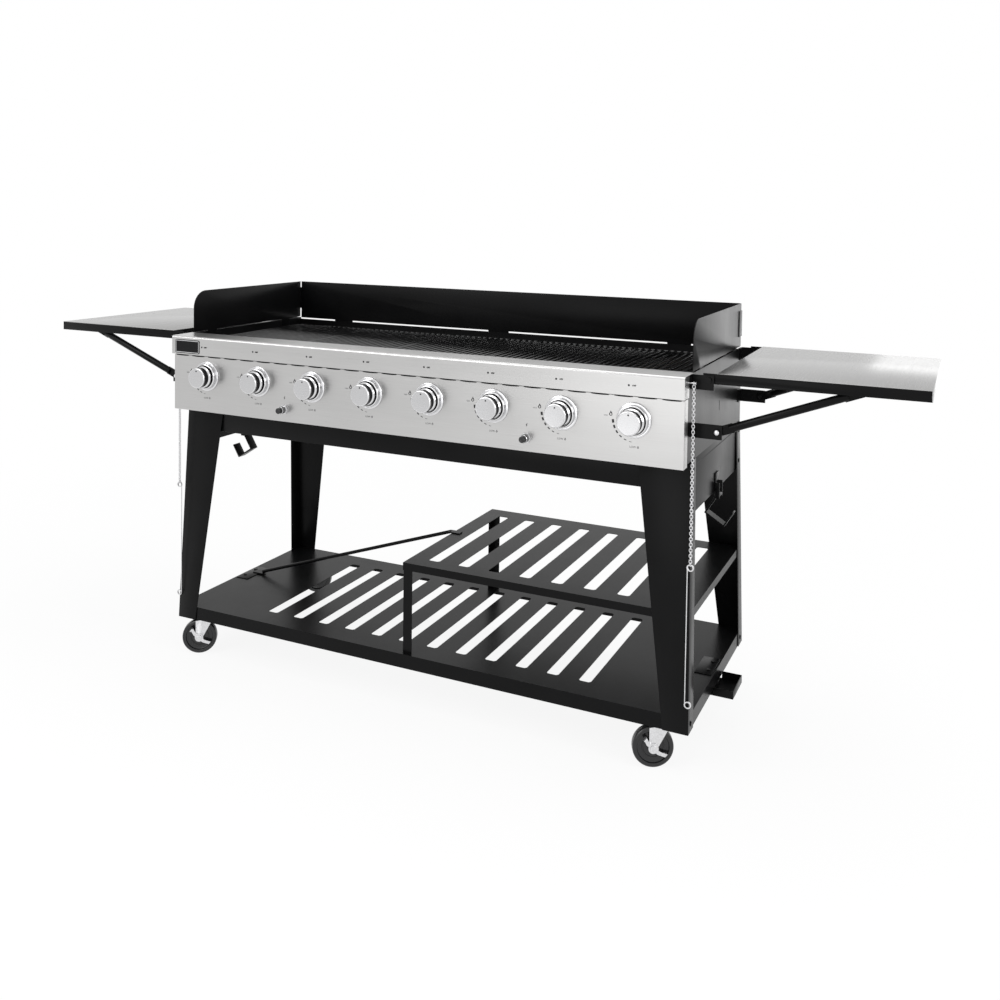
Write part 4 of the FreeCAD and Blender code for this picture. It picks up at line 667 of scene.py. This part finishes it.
def soften(node, finish, radius):
    """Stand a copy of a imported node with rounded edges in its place."""
    bm = clean_copy(node)
    bmesh.ops.dissolve_limit(bm, angle_limit=FLAT_ANGLE, verts=bm.verts, edges=bm.edges)
    holder = linked(node + "_sharp", plain_mesh(node + "_sharp", bm))
    bevel = holder.modifiers.new("edges", "BEVEL")
    bevel.width = radius
    bevel.segments = EDGE_STEPS
    bevel.limit_method = "ANGLE"
    bevel.angle_limit = EDGE_ANGLE
    piece = mesh_object(node + "_rounded", evaluated(holder), finish)
    settle(piece, NODES[node]["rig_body"], [node])


# Geometry Nodes

class Grove(Graph):
    """A small Geometry Nodes tree."""

    def __init__(self, name):
        super().__init__(bpy.data.node_groups.new(name, "GeometryNodeTree"))
        for way in ("OUTPUT", "INPUT"):
            self.tree.interface.new_socket("Geometry", in_out=way, socket_type="NodeSocketGeometry")
        self.entry = self.tree.nodes.new("NodeGroupInput")
        self.ids = {}

    def given(self, name):
        """The value of an input, or the points that the tree grows on."""
        return Wire(self, self.entry.outputs[name])

    def count(self, name, value):
        """A named input that is a whole number."""
        socket = self.tree.interface.new_socket(name, in_out="INPUT", socket_type="NodeSocketInt")
        socket.default_value = value
        return self.given(name)

    def vectors(self, *names):
        """Named inputs that are vectors."""
        for name in names:
            socket = self.tree.interface.new_socket(name, in_out="INPUT", socket_type="NodeSocketVector")
            self.ids[name] = socket.identifier
        return [self.given(name) for name in names]

    def join(self, *parts):
        """Several geometries in one."""
        made = self.tree.nodes.new("GeometryNodeJoinGeometry")
        for part in parts:
            self.feed(made.inputs[0], part)
        return Wire(self, made.outputs[0])

    def rod(self, sides, size, turn):
        """A bar of a given width, height and length, turned."""
        unit = {"Vertices": sides, "Radius": 0.5, "Depth": 1.0}
        bar = self.node("GeometryNodeMeshCylinder", unit, "Mesh")
        return self.node("GeometryNodeTransform", {"Geometry": bar, "Scale": size, "Rotation": turn})

    def copy(self, piece):
        """Another object's mesh as an instance."""
        return self.node("GeometryNodeObjectInfo", {"Object": piece, "As Instance": True}, "Geometry")

    def row(self, count, first, step, shape):
        """Copies of a shape along a line."""
        places = {"Count": count, "Start Location": first, "Offset": step}
        line = self.node("GeometryNodeMeshLine", places)
        return self.node("GeometryNodeInstanceOnPoints", {"Points": line, "Instance": shape})

    def close(self, geometry, finish):
        """End the tree."""
        realised = self.node("GeometryNodeRealizeInstances", {"Geometry": geometry})
        inputs = {"Geometry": realised, "Material": finish_of(finish)}
        painted = self.node("GeometryNodeSetMaterial", inputs)
        leave = self.tree.nodes.new("NodeGroupOutput")
        self.feed(leave.inputs[0], painted)

    def grow(self, name, finish, values, points=()):
        """Give back the tree's result on some points as a plain mesh object at the origin."""
        mesh = bpy.data.meshes.new(name + "_seed")
        mesh.from_pydata([tuple(point) for point in points], [], [])
        seed = linked(name + "_seed", mesh)
        modifier = seed.modifiers.new("grow", "NODES")
        modifier.node_group = self.tree
        for key, value in values.items():
            modifier[self.ids[key]] = value
        grown = evaluated(seed)
        if not grown.polygons:
            raise RuntimeError(f"{name} grew nothing")
        grown.name = name
        return mesh_object(name, grown, finish)


# Operators

class GRILL_OT_finishes(bpy.types.Operator):
    """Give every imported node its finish"""

    bl_idname = "grill.finishes"
    bl_label = "Finishes"

    def execute(self, context):
        for name, node in NODES.items():
            fitting = (
                finish for finish, patterns in NODE_FINISHES.items()
                if any(fnmatch(name, pattern) for pattern in patterns)
            )
            paint_mesh(node.data, next(fitting))
        return {"FINISHED"}


class GRILL_OT_knobs(bpy.types.Operator):
    """Burner knobs with a bright cap, chrome bands, dark gloss on the sides as painted dark reflection, and
    a pointer dot
    """

    bl_idname = "grill.knobs"
    bl_label = "Burner knobs"

    pointer_radius: size_setting("Pointer radius", "Radius of the pointer dot", 2 * MM)
    pointer_out: size_setting("Pointer place", "Pointer dot from the knob's axis", 19.5 * MM)
    pointer_foot: size_setting("Pointer foot", "Back of the dot in front of the panel", 44.1 * MM)
    pointer_depth: size_setting("Pointer depth", "Thickness of the pointer dot", 0.5 * MM)

    def execute(self, context):
        sides = context.scene.grill_sizes.segments
        for i, node in enumerate(KNOBS):
            spot = on_panel(node)
            bm = bmesh.new()
            lathe(bm, in_metres(KNOB_OUTLINE), spot, sides)
            pointer = spot @ Matrix.Translation((0, self.pointer_out, self.pointer_foot))
            flat_shape(bm, circle(self.pointer_radius, DOT_SIDES), pointer, self.pointer_depth, 3)
            # The dark gloss is painted dark reflection on the knob's sides and painted shade in its bore
            # and on its back
            piece = from_bmesh(f"knob_{i + 1}_turned", bm, "chrome", "waist", "cap", "ink")
            settle(piece, f"knob_{i + 1}", [node])
        return {"FINISHED"}


class GRILL_OT_bezels(bpy.types.Operator):
    """Bezels behind the knobs, igniter bodies with their nuts, and the push buttons"""

    bl_idname = "grill.bezels"
    bl_label = "Bezels and igniters"

    def execute(self, context):
        sides = context.scene.grill_sizes.segments
        bm = bmesh.new()
        for node in KNOBS:
            lathe(bm, in_metres(BEZEL_OUTLINE), on_panel(node), sides)
        for name in SIDES:
            button = f"igniter_button_{name}"
            spot = on_panel(button)
            lathe(bm, in_metres(self.barrel()), spot, sides)
            lathe(bm, in_metres(NUT_OUTLINE), spot, HEX_SIDES)
            push = bmesh.new()
            lathe(push, in_metres(BUTTON_OUTLINE), spot, sides)
            piece = from_bmesh(f"igniter_{name}_domed", push, "plastic")
            settle(piece, f"igniter_{name}", [button])
        # Finish 1 is painted shade in the bezels' bores and the barrels' wells and thread grooves
        piece = from_bmesh("control_bezels_turned", bm, "chrome", "waist")
        settle(piece, "frame", ["control_bezels"])
        return {"FINISHED"}

    def barrel(self):
        """The igniter's threaded barrel with the well for its button, with painted shade in the well and
        the thread grooves.
        """
        points = [*BARREL_MOUTH]
        for turn in range(THREAD_TURNS):
            top = THREAD_TOP - THREAD_PITCH * turn
            points += [(radius, top + height, finish) for radius, height, finish in THREAD_OUTLINE]
        return [*points, *BARREL_FOOT]


class GRILL_OT_dials(bpy.types.Operator):
    """Printed marks of the burners and igniters"""

    bl_idname = "grill.dials"
    bl_label = "Printed marks"

    def execute(self, context):
        sizes = context.scene.grill_sizes
        lift = sizes.print_lift
        start = on_panel(KNOBS[0]).translation
        dial = self.make_dial(sizes, start.z)
        grove = Grove("dial_row")
        count = grove.count("Burners", len(KNOBS))
        first, pitch = grove.vectors("First burner", "Pitch")
        grove.close(grove.row(count, first, pitch, grove.copy(dial)), "ink")
        step = on_panel(KNOBS[1]).translation - start
        piece = grove.grow("burner_dials", "ink", {"First burner": start, "Pitch": step})
        bpy.data.objects.remove(dial)
        settle(piece, "frame")
        bm = bmesh.new()
        for name in SIDES:
            spot = on_panel(f"igniter_button_{name}") @ Matrix.Translation((0, 0, -lift))
            flat_shape(bm, shifted(BOLT_OF_LIGHT, *FLASH), spot, lift * 2)
        settle(from_bmesh("igniter_marks", bm, "ink"), "frame")
        return {"FINISHED"}

    def make_dial(self, sizes, axis_height):
        """One burner's marks: high at the left, low at the bottom, off on the trim above."""
        lift = sizes.print_lift
        bm = bmesh.new()
        self.flame(bm, *HIGH_FLAME, lift)
        self.dashes(bm, sizes)
        self.word(bm, "HIGH", sizes.letter * HIGH_SHARE, HIGH_WORD, lift)
        self.word(bm, "LOW", sizes.letter, LOW_WORD, lift)
        self.flame(bm, *LOW_FLAME, lift)
        above = (TRIM_LOW.z + TRIM_HIGH.z) / 2 - OFF_DROP - axis_height
        trim_lift = PANEL_LOW.y - TRIM_LOW.y + lift
        self.mark(bm, shifted(circle(OFF_DOT_RADIUS, DOT_SIDES), 1, OFF_DOT, above), trim_lift)
        self.word(bm, "OFF", sizes.letter * OFF_SHARE, (OFF_WORD, above), trim_lift)
        return from_bmesh("dial", bm, "ink")

    def mark(self, bm, points, lift):
        """A thin printed shape in front of the dial's middle."""
        flat_shape(bm, points, Matrix.Translation((0, -lift, 0)) @ UPRIGHT, -lift / 4)

    def flame(self, bm, size, u, v, lift):
        """An outlined flame with its middle open."""
        outer = shifted(FLAME, size, u, v)
        inner = shifted(FLAME, size * FLAME_HOLE, u, v - size * FLAME_SINK)
        for i in range(len(FLAME)):
            j = (i + 1) % len(FLAME)
            self.mark(bm, [outer[i], outer[j], inner[j], inner[i]][::-1], lift)

    def dashes(self, bm, sizes):
        """Dashes from nine to six o'clock that grow thinner."""
        for i in range(sizes.dashes):
            share = i / (sizes.dashes - 1)
            middle, half, thick = (a + (b - a) * share for a, b in zip(FIRST_DASH, LAST_DASH))
            arc = [math.radians(middle - half + half * step / 2) for step in range(5)]
            outer = sizes.dial_radius + thick * MM / 2
            inner = sizes.dial_radius - thick * MM / 2
            rim = [(outer * math.cos(a), outer * math.sin(a)) for a in arc]
            rim += [(inner * math.cos(a), inner * math.sin(a)) for a in reversed(arc)]
            self.mark(bm, rim, sizes.print_lift)

    def word(self, bm, letters, height, middle, lift):
        """A printed word of a given height."""
        curve = bpy.data.curves.new(letters, "FONT")
        curve.body = letters
        curve.resolution_u = 2
        curve.extrude = 0.01
        mesh = evaluated(linked(letters, curve))
        low, high = box_of(mesh.vertices)
        centre = (low + high) / 2
        scale = height / (high.y - low.y)
        for vert in mesh.vertices:
            offset = (vert.co - centre) * scale
            depth = lift / 8 if offset.z > 0 else -lift / 8
            vert.co = (middle[0] + offset.x, -lift - depth, middle[1] + offset.y)
        bm.from_mesh(mesh)
        bpy.data.meshes.remove(mesh)


class GRILL_OT_trims(bpy.types.Operator):
    """Dark plates as painted shade in the slots of the seam under the trim, and the blank badge plate"""

    bl_idname = "grill.trims"
    bl_label = "Seam and badge"

    slot_drop: size_setting("Slot drop", "Middle of a slot below the panel's top", 0.8 * MM)
    slot_height: size_setting("Slot height", "Height of a slot", 3.4 * MM)
    slot_depth: size_setting("Slot depth", "Thickness of a slot's dark plate", 0.6 * MM)

    def execute(self, context):
        sizes = context.scene.grill_sizes
        slots = int((PANEL_HIGH.x - PANEL_LOW.x) / sizes.seam_pitch)
        grove = Grove("seam_slots")
        count = grove.count("Slots", slots)
        first, pitch, section = grove.vectors("First slot", "Pitch", "Slot size")
        # Each slot is a dark plate at the panel's face: painted shade in the seam under the trim
        plate = grove.rod(SLOT_SIDES, section, (QUARTER, 0, 0))
        grove.close(grove.row(count, first, pitch, plate), "waist")
        left = -sizes.seam_pitch * (slots - 1) / 2
        values = {
            "First slot": Vector((left, PANEL_LOW.y, PANEL_HIGH.z - self.slot_drop)),
            "Pitch": Vector((sizes.seam_pitch, 0, 0)),
            "Slot size": Vector((sizes.seam_slot, self.slot_height, self.slot_depth)),
        }
        settle(grove.grow("seam_slots", "waist", values), "frame")
        self.make_badge(sizes)
        return {"FINISHED"}

    def make_badge(self, sizes):
        """A blank dark plate with a bright line round it near the trim's left end."""
        height = (TRIM_LOW.z + TRIM_HIGH.z) / 2 - sizes.badge_drop
        middle = Matrix.Translation((TRIM_LOW.x + sizes.badge_inward, TRIM_LOW.y, height))
        bm = bmesh.new()
        for inset, depth, finish in BADGE_LAYERS:
            less = inset * MM
            outline = rounded_plate(
                sizes.badge_width / 2 - less, sizes.badge_height / 2 - less, sizes.badge_corner - less
            )
            flat_shape(bm, outline, middle @ UPRIGHT, depth * MM, finish)
        settle(from_bmesh("badge_plate", bm, "chrome", "waist"), "frame")


class GRILL_OT_grates(bpy.types.Operator):
    """Cooking grates of bars with round edges between two end bars"""

    bl_idname = "grill.grates"
    bl_label = "Cooking grates"

    def execute(self, context):
        sizes = context.scene.grill_sizes
        low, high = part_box(GRATES[0])
        size = high - low
        length = size.y - sizes.end_width
        across = Matrix.Rotation(QUARTER, 4, "Z") @ UPRIGHT
        bar = self.beam("bar", sizes.bar_width, size.z, sizes.bar_round, length, UPRIGHT)
        end = self.beam("end_bar", sizes.end_width, size.z, sizes.bar_round, size.x, across)
        grove = Grove("grate_bars")
        count = grove.count("Bars", sizes.bars)
        first, pitch, front, reach = grove.vectors("First bar", "Pitch", "Front end", "Front to rear end")
        bars = grove.row(count, first, pitch, grove.copy(bar))
        ends = grove.row(2, front, reach, grove.copy(end))
        grove.close(grove.join(bars, ends), "enamel")
        step = (size.x - sizes.bar_width) / (sizes.bars - 1)
        for i, node in enumerate(GRATES):
            low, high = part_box(node)
            middle = (low + high) / 2
            values = {
                "First bar": Vector((low.x + sizes.bar_width / 2, middle.y, middle.z)),
                "Pitch": Vector((step, 0, 0)),
                "Front end": Vector((middle.x, low.y + sizes.end_width / 2, middle.z)),
                "Front to rear end": Vector((0, length, 0)),
            }
            piece = grove.grow(f"grate_{i + 1}_bars", "enamel", values)
            settle(piece, f"grate_{i + 1}", [node])
        for piece in (bar, end):
            bpy.data.objects.remove(piece)
        return {"FINISHED"}

    def beam(self, name, width, height, radius, length, turn):
        """A straight bar with round long edges and its middle at the origin."""
        bm = bmesh.new()
        outline = rounded_plate(width / 2, height / 2, radius)
        flat_shape(bm, outline, turn @ Matrix.Translation((0, 0, -length / 2)), length)
        return from_bmesh(name, bm, "enamel")


class GRILL_OT_casters(bpy.types.Operator):
    """Moulded wheels, and forks and brake levers with rounded edges"""

    bl_idname = "grill.casters"
    bl_label = "Casters"

    def execute(self, context):
        sizes = context.scene.grill_sizes
        outline = in_metres(WHEEL_OUTLINE)
        outline += [(radius, -height) for radius, height in reversed(outline)]
        outline.append(outline[0])
        for name in CASTERS:
            axle = JOINTS[f"caster_{name}_roll"]
            turn = Vector(axle["axis"]).to_track_quat("Z", "Y").to_matrix().to_4x4()
            bm = bmesh.new()
            lathe(bm, outline, Matrix.Translation(axle["pos_m"]) @ turn, sizes.segments)
            piece = from_bmesh(f"wheel_{name}_moulded", bm, "wheel")
            settle(piece, f"wheel_{name}", [f"caster_wheel_{name}"])
            soften(f"caster_fork_{name}", "zinc", sizes.edge)
        for name in BRAKES:
            soften(f"brake_pedal_{name}", "zinc", sizes.edge * 2)
        return {"FINISHED"}


class GRILL_OT_sheets(bpy.types.Operator):
    """Tables, wind guard, frame and hooks with rounded edges"""

    bl_idname = "grill.sheets"
    bl_label = "Sheet metal"

    def execute(self, context):
        edge = context.scene.grill_sizes.edge
        coated = ["wind_guard_sides", "wind_guard_back", "cart_legs", "aprons", "tank_supports"]
        for name in SIDES:
            soften(f"{name}_table_top", "table", edge)
            coated += [f"{name}_table_rims", f"{name}_table_struts", f"{name}_tank_hook"]
        for node in coated:
            soften(node, "coat", edge)
        return {"FINISHED"}


class GRILL_OT_sides(bpy.types.Operator):
    """Bright caps on the strut pins, and painted shade in the joints and slots of the firebox sides"""

    bl_idname = "grill.sides"
    bl_label = "Sides"

    def execute(self, context):
        caps = bmesh.new()
        marks = bmesh.new()
        brackets = islands("table_brackets")
        for name, way in SIDES.items():
            foot = Vector(JOINTS[f"{name}_strut_fold"]["pos_m"])
            for low, high in brackets:
                if not (low.x < foot.x < high.x and low.z < foot.z < high.z):
                    continue
                rear = low.y > 0
                spot = Matrix.Translation((foot.x, high.y if rear else low.y, foot.z))
                turn = Matrix.Rotation(-QUARTER if rear else QUARTER, 4, "X")
                lathe(caps, in_metres(CAP_OUTLINE), spot @ turn, CAP_SIDES)
            self.mark_wall(marks, way)
        settle(from_bmesh("strut_pin_caps", caps, "zinc"), "frame")
        # The wall marks are painted shade, in the ink's finish
        settle(from_bmesh("side_wall_joints", marks, "ink"), "frame")
        return {"FINISHED"}

    def mark_wall(self, bm, way):
        """Painted shade in the joint under a side wall and in the upright slot in it."""
        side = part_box("firebox_walls")[way > 0].x
        turn = Matrix.Rotation(QUARTER, 4, "Z") @ UPRIGHT
        if way < 0:
            turn = Matrix.Scale(-1, 4, (1, 0, 0)) @ turn
        spot = Matrix.Translation((side, 0, 0)) @ turn @ Matrix.Translation((0, 0, -WALL_SUNK))
        front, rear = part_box("aprons")
        middle = (front.y + rear.y) / 2
        for start, end, offsets in ((front.y, rear.y, WALL_JOINT), (middle, middle, WALL_SLOT)):
            places = (start, end, rear.z, rear.z)
            near, far, foot, top = (place + offset * MM for place, offset in zip(places, offsets))
            bevel = min(far - near, top - foot) / 3
            outline = [
                (near + bevel, foot), (far - bevel, foot), (far, foot + bevel), (far, top - bevel),
                (far - bevel, top), (near + bevel, top), (near, top - bevel), (near, foot + bevel),
            ]
            flat_shape(bm, outline, spot, WALL_THICK)


class GRILL_OT_bolts(bpy.types.Operator):
    """Bolt heads with washers, and the pins that carry the match chains"""

    bl_idname = "grill.bolts"
    bl_label = "Bolts and chain pins"

    longest: size_setting("Longest bolt", "A longer fastener is a chain's pin", 15 * MM)
    flattest: size_setting("Flattest bolt", "A lower fastener stands on the shelf", 5 * MM)
    seated: size_setting("Seat", "Bolt heads above the sheet's face", 0.1 * MM)

    def execute(self, context):
        groups = {"left": [], "right": [], "shelf": []}
        pins = bmesh.new()
        for low, high in islands("fasteners"):
            middle, size = (low + high) / 2, high - low
            if size.x > self.longest:
                self.turn_pin(pins, low, high)
            elif size.z < self.flattest:
                groups["shelf"].append(Vector((middle.x, middle.y, low.z)))
            else:
                inward = math.copysign(size.x / 2 - self.seated, middle.x)
                groups["left" if middle.x < 0 else "right"].append(middle - Vector((inward, 0, 0)))
        grove = self.bolt_tree()
        for name, way in (*SIDES.items(), ("shelf", 0)):
            turned = Vector((0, QUARTER * way, 0))
            piece = grove.grow(f"bolts_{name}", "coat", {"Turn": turned}, groups[name])
            settle(piece, "frame")
        settle(from_bmesh("chain_pins_turned", pins, "zinc"), "frame", ["fasteners"])
        return {"FINISHED"}

    def bolt_tree(self):
        """Washer, hexagon and crown on every point."""
        grove = Grove("bolt_heads")
        [turn] = grove.vectors("Turn")
        layers = []
        for sides, width, height in BOLT_LAYERS:
            layers.append(grove.rod(sides, (width * MM, width * MM, height * MM), (0, 0, 0)))
        inputs = {"Points": grove.given("Geometry"), "Instance": grove.join(*layers), "Rotation": turn}
        grove.close(grove.node("GeometryNodeInstanceOnPoints", inputs), "coat")
        return grove

    def turn_pin(self, bm, low, high):
        """A chain's pin from its foot on the wall to its outer head."""
        way = math.copysign(1, low.x)
        inner, outer = (low.x, high.x) if way > 0 else (high.x, low.x)
        length = abs(outer - inner)
        spot = Matrix.Translation((inner, (low.y + high.y) / 2, (low.z + high.z) / 2))
        turn = Matrix.Rotation(QUARTER * way, 4, "Y")
        tip = [(radius, length + height) for radius, height in in_metres(PIN_TIP)]
        lathe(bm, in_metres(PIN_FOOT) + tip, spot @ turn, PIN_SIDES)


class GRILL_OT_stage(bpy.types.Operator):
    """Floor, light and camera of the studio"""

    bl_idname = "grill.stage"
    bl_label = "Studio"

    def execute(self, context):
        studio = context.scene.grill_stage
        context.scene.view_settings.view_transform = "Standard"
        self.make_floor(studio)
        self.make_world(context, studio.fill)
        self.make_lamps()
        self.make_camera(context, studio)
        return {"FINISHED"}

    def make_floor(self, studio):
        """A wide white floor that keeps a faint shadow."""
        bm = bmesh.new()
        bmesh.ops.create_grid(bm, x_segments=1, y_segments=1, size=studio.floor)
        floor = linked("floor", plain_mesh("floor", bm))
        paint = Paint("studio_floor")
        paint.surface(Base_Color=(0.92, 0.92, 0.92, 1), Roughness=0.9, Specular_IOR_Level=0.1)
        seen = self.bright_rays(paint)
        glow = paint.node("ShaderNodeEmission", {"Color": (1, 1, 1, 1), "Strength": 1.0})
        lit = Wire(paint, paint.shader.outputs[0])
        spread = paint.node("ShaderNodeVectorMath", {0: paint.place()}, "Value", operation="LENGTH")
        near, far = studio.shadow
        limits = {"Value": spread, "From Min": near, "From Max": far, "To Min": 0.9, "To Max": 1.0}
        fade = paint.node("ShaderNodeMapRange", limits, interpolation_type="SMOOTHSTEP")
        mixed = paint.node("ShaderNodeMixShader", {0: fade * seen, 1: lit, 2: glow})
        paint.feed(paint.tree.nodes["Material Output"].inputs["Surface"], mixed)
        floor.data.materials.append(paint.owner)

    def bright_rays(self, paint):
        """1 for the rays that see the white background."""
        path = paint.tree.nodes.new("ShaderNodeLightPath")
        names = ("Is Camera Ray", "Is Glossy Ray", "Is Transmission Ray")
        camera, glossy, through = (Wire(paint, path.outputs[name]) for name in names)
        return camera + glossy + through > 0.5

    def make_world(self, context, fill):
        """White to the eye and in reflections, softer as a light."""
        paint = Paint("studio", "worlds")
        context.scene.world = paint.owner
        back = paint.tree.nodes["Background"]
        back.inputs["Color"].default_value = (1, 1, 1, 1)
        seen = self.bright_rays(paint)
        paint.feed(back.inputs["Strength"], fill + (1 - fill) * seen)

    def make_lamps(self):
        """Large soft lamps."""
        for name, place, target, size, power in LAMPS:
            lamp = bpy.data.lights.new(name, "AREA")
            lamp.size = size
            lamp.energy = power
            holder = linked(name, lamp)
            holder.visible_camera = False
            holder.location = place
            aim = Vector(target) - Vector(place)
            holder.rotation_euler = aim.to_track_quat("-Z", "Y").to_euler()

    def make_camera(self, context, studio):
        """The camera at the photograph's viewing angle."""
        yaw, pitch, roll = studio.aim
        ahead = Vector((math.sin(yaw) * math.cos(pitch), math.cos(yaw) * math.cos(pitch), math.sin(pitch)))
        right = Vector((math.cos(yaw), -math.sin(yaw), 0))
        up = right.cross(ahead)
        across = math.cos(roll) * right + math.sin(roll) * up
        top = -math.sin(roll) * right + math.cos(roll) * up
        turn = Matrix((across, top, -ahead)).transposed()
        lens = bpy.data.cameras.new("camera")
        lens.sensor_width = SENSOR
        lens.lens = studio.lens
        lens.shift_y = studio.rise
        lens.clip_end = FAR_CLIP
        camera = linked("camera", lens)
        camera.matrix_world = Matrix.Translation(studio.eye) @ turn.to_4x4()
        context.scene.camera = camera


class GRILL_PT_sidebar(bpy.types.Panel):
    """The grill's steps and settings"""

    bl_idname = "GRILL_PT_sidebar"
    bl_label = "Event gas grill"
    bl_space_type = "VIEW_3D"
    bl_region_type = "UI"
    bl_category = "Grill"

    def draw(self, context):
        for group in (context.scene.grill_finish, context.scene.grill_sizes, context.scene.grill_stage):
            for key in group.__annotations__:
                self.layout.prop(group, key)
        for step in STEPS:
            self.layout.operator(f"grill.{step}")


STEPS = (
    "stage", "finishes", "knobs", "bezels", "dials", "trims",
    "grates", "casters", "sheets", "sides", "bolts",
)
GROUPS = {"grill_finish": GrillFinish, "grill_sizes": GrillSizes, "grill_stage": GrillStage}
CLASSES = (
    GrillFinish, GrillSizes, GrillStage, GRILL_OT_stage, GRILL_OT_finishes, GRILL_OT_knobs,
    GRILL_OT_bezels, GRILL_OT_dials, GRILL_OT_trims, GRILL_OT_grates, GRILL_OT_casters,
    GRILL_OT_sheets, GRILL_OT_sides, GRILL_OT_bolts, GRILL_PT_sidebar,
)


def register():
    """Make the add-on's classes and settings known."""
    for item in CLASSES:
        bpy.utils.register_class(item)
    for name, group in GROUPS.items():
        setattr(bpy.types.Scene, name, bpy.props.PointerProperty(type=group))


def unregister():
    """Take the add-on's classes and settings away."""
    for name in GROUPS:
        delattr(bpy.types.Scene, name)
    for item in reversed(CLASSES):
        bpy.utils.unregister_class(item)


def main():
    """Register the add-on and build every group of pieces."""
    register()
    for step in STEPS:
        getattr(bpy.ops.grill, step)()


if __name__ == "__main__":
    main()
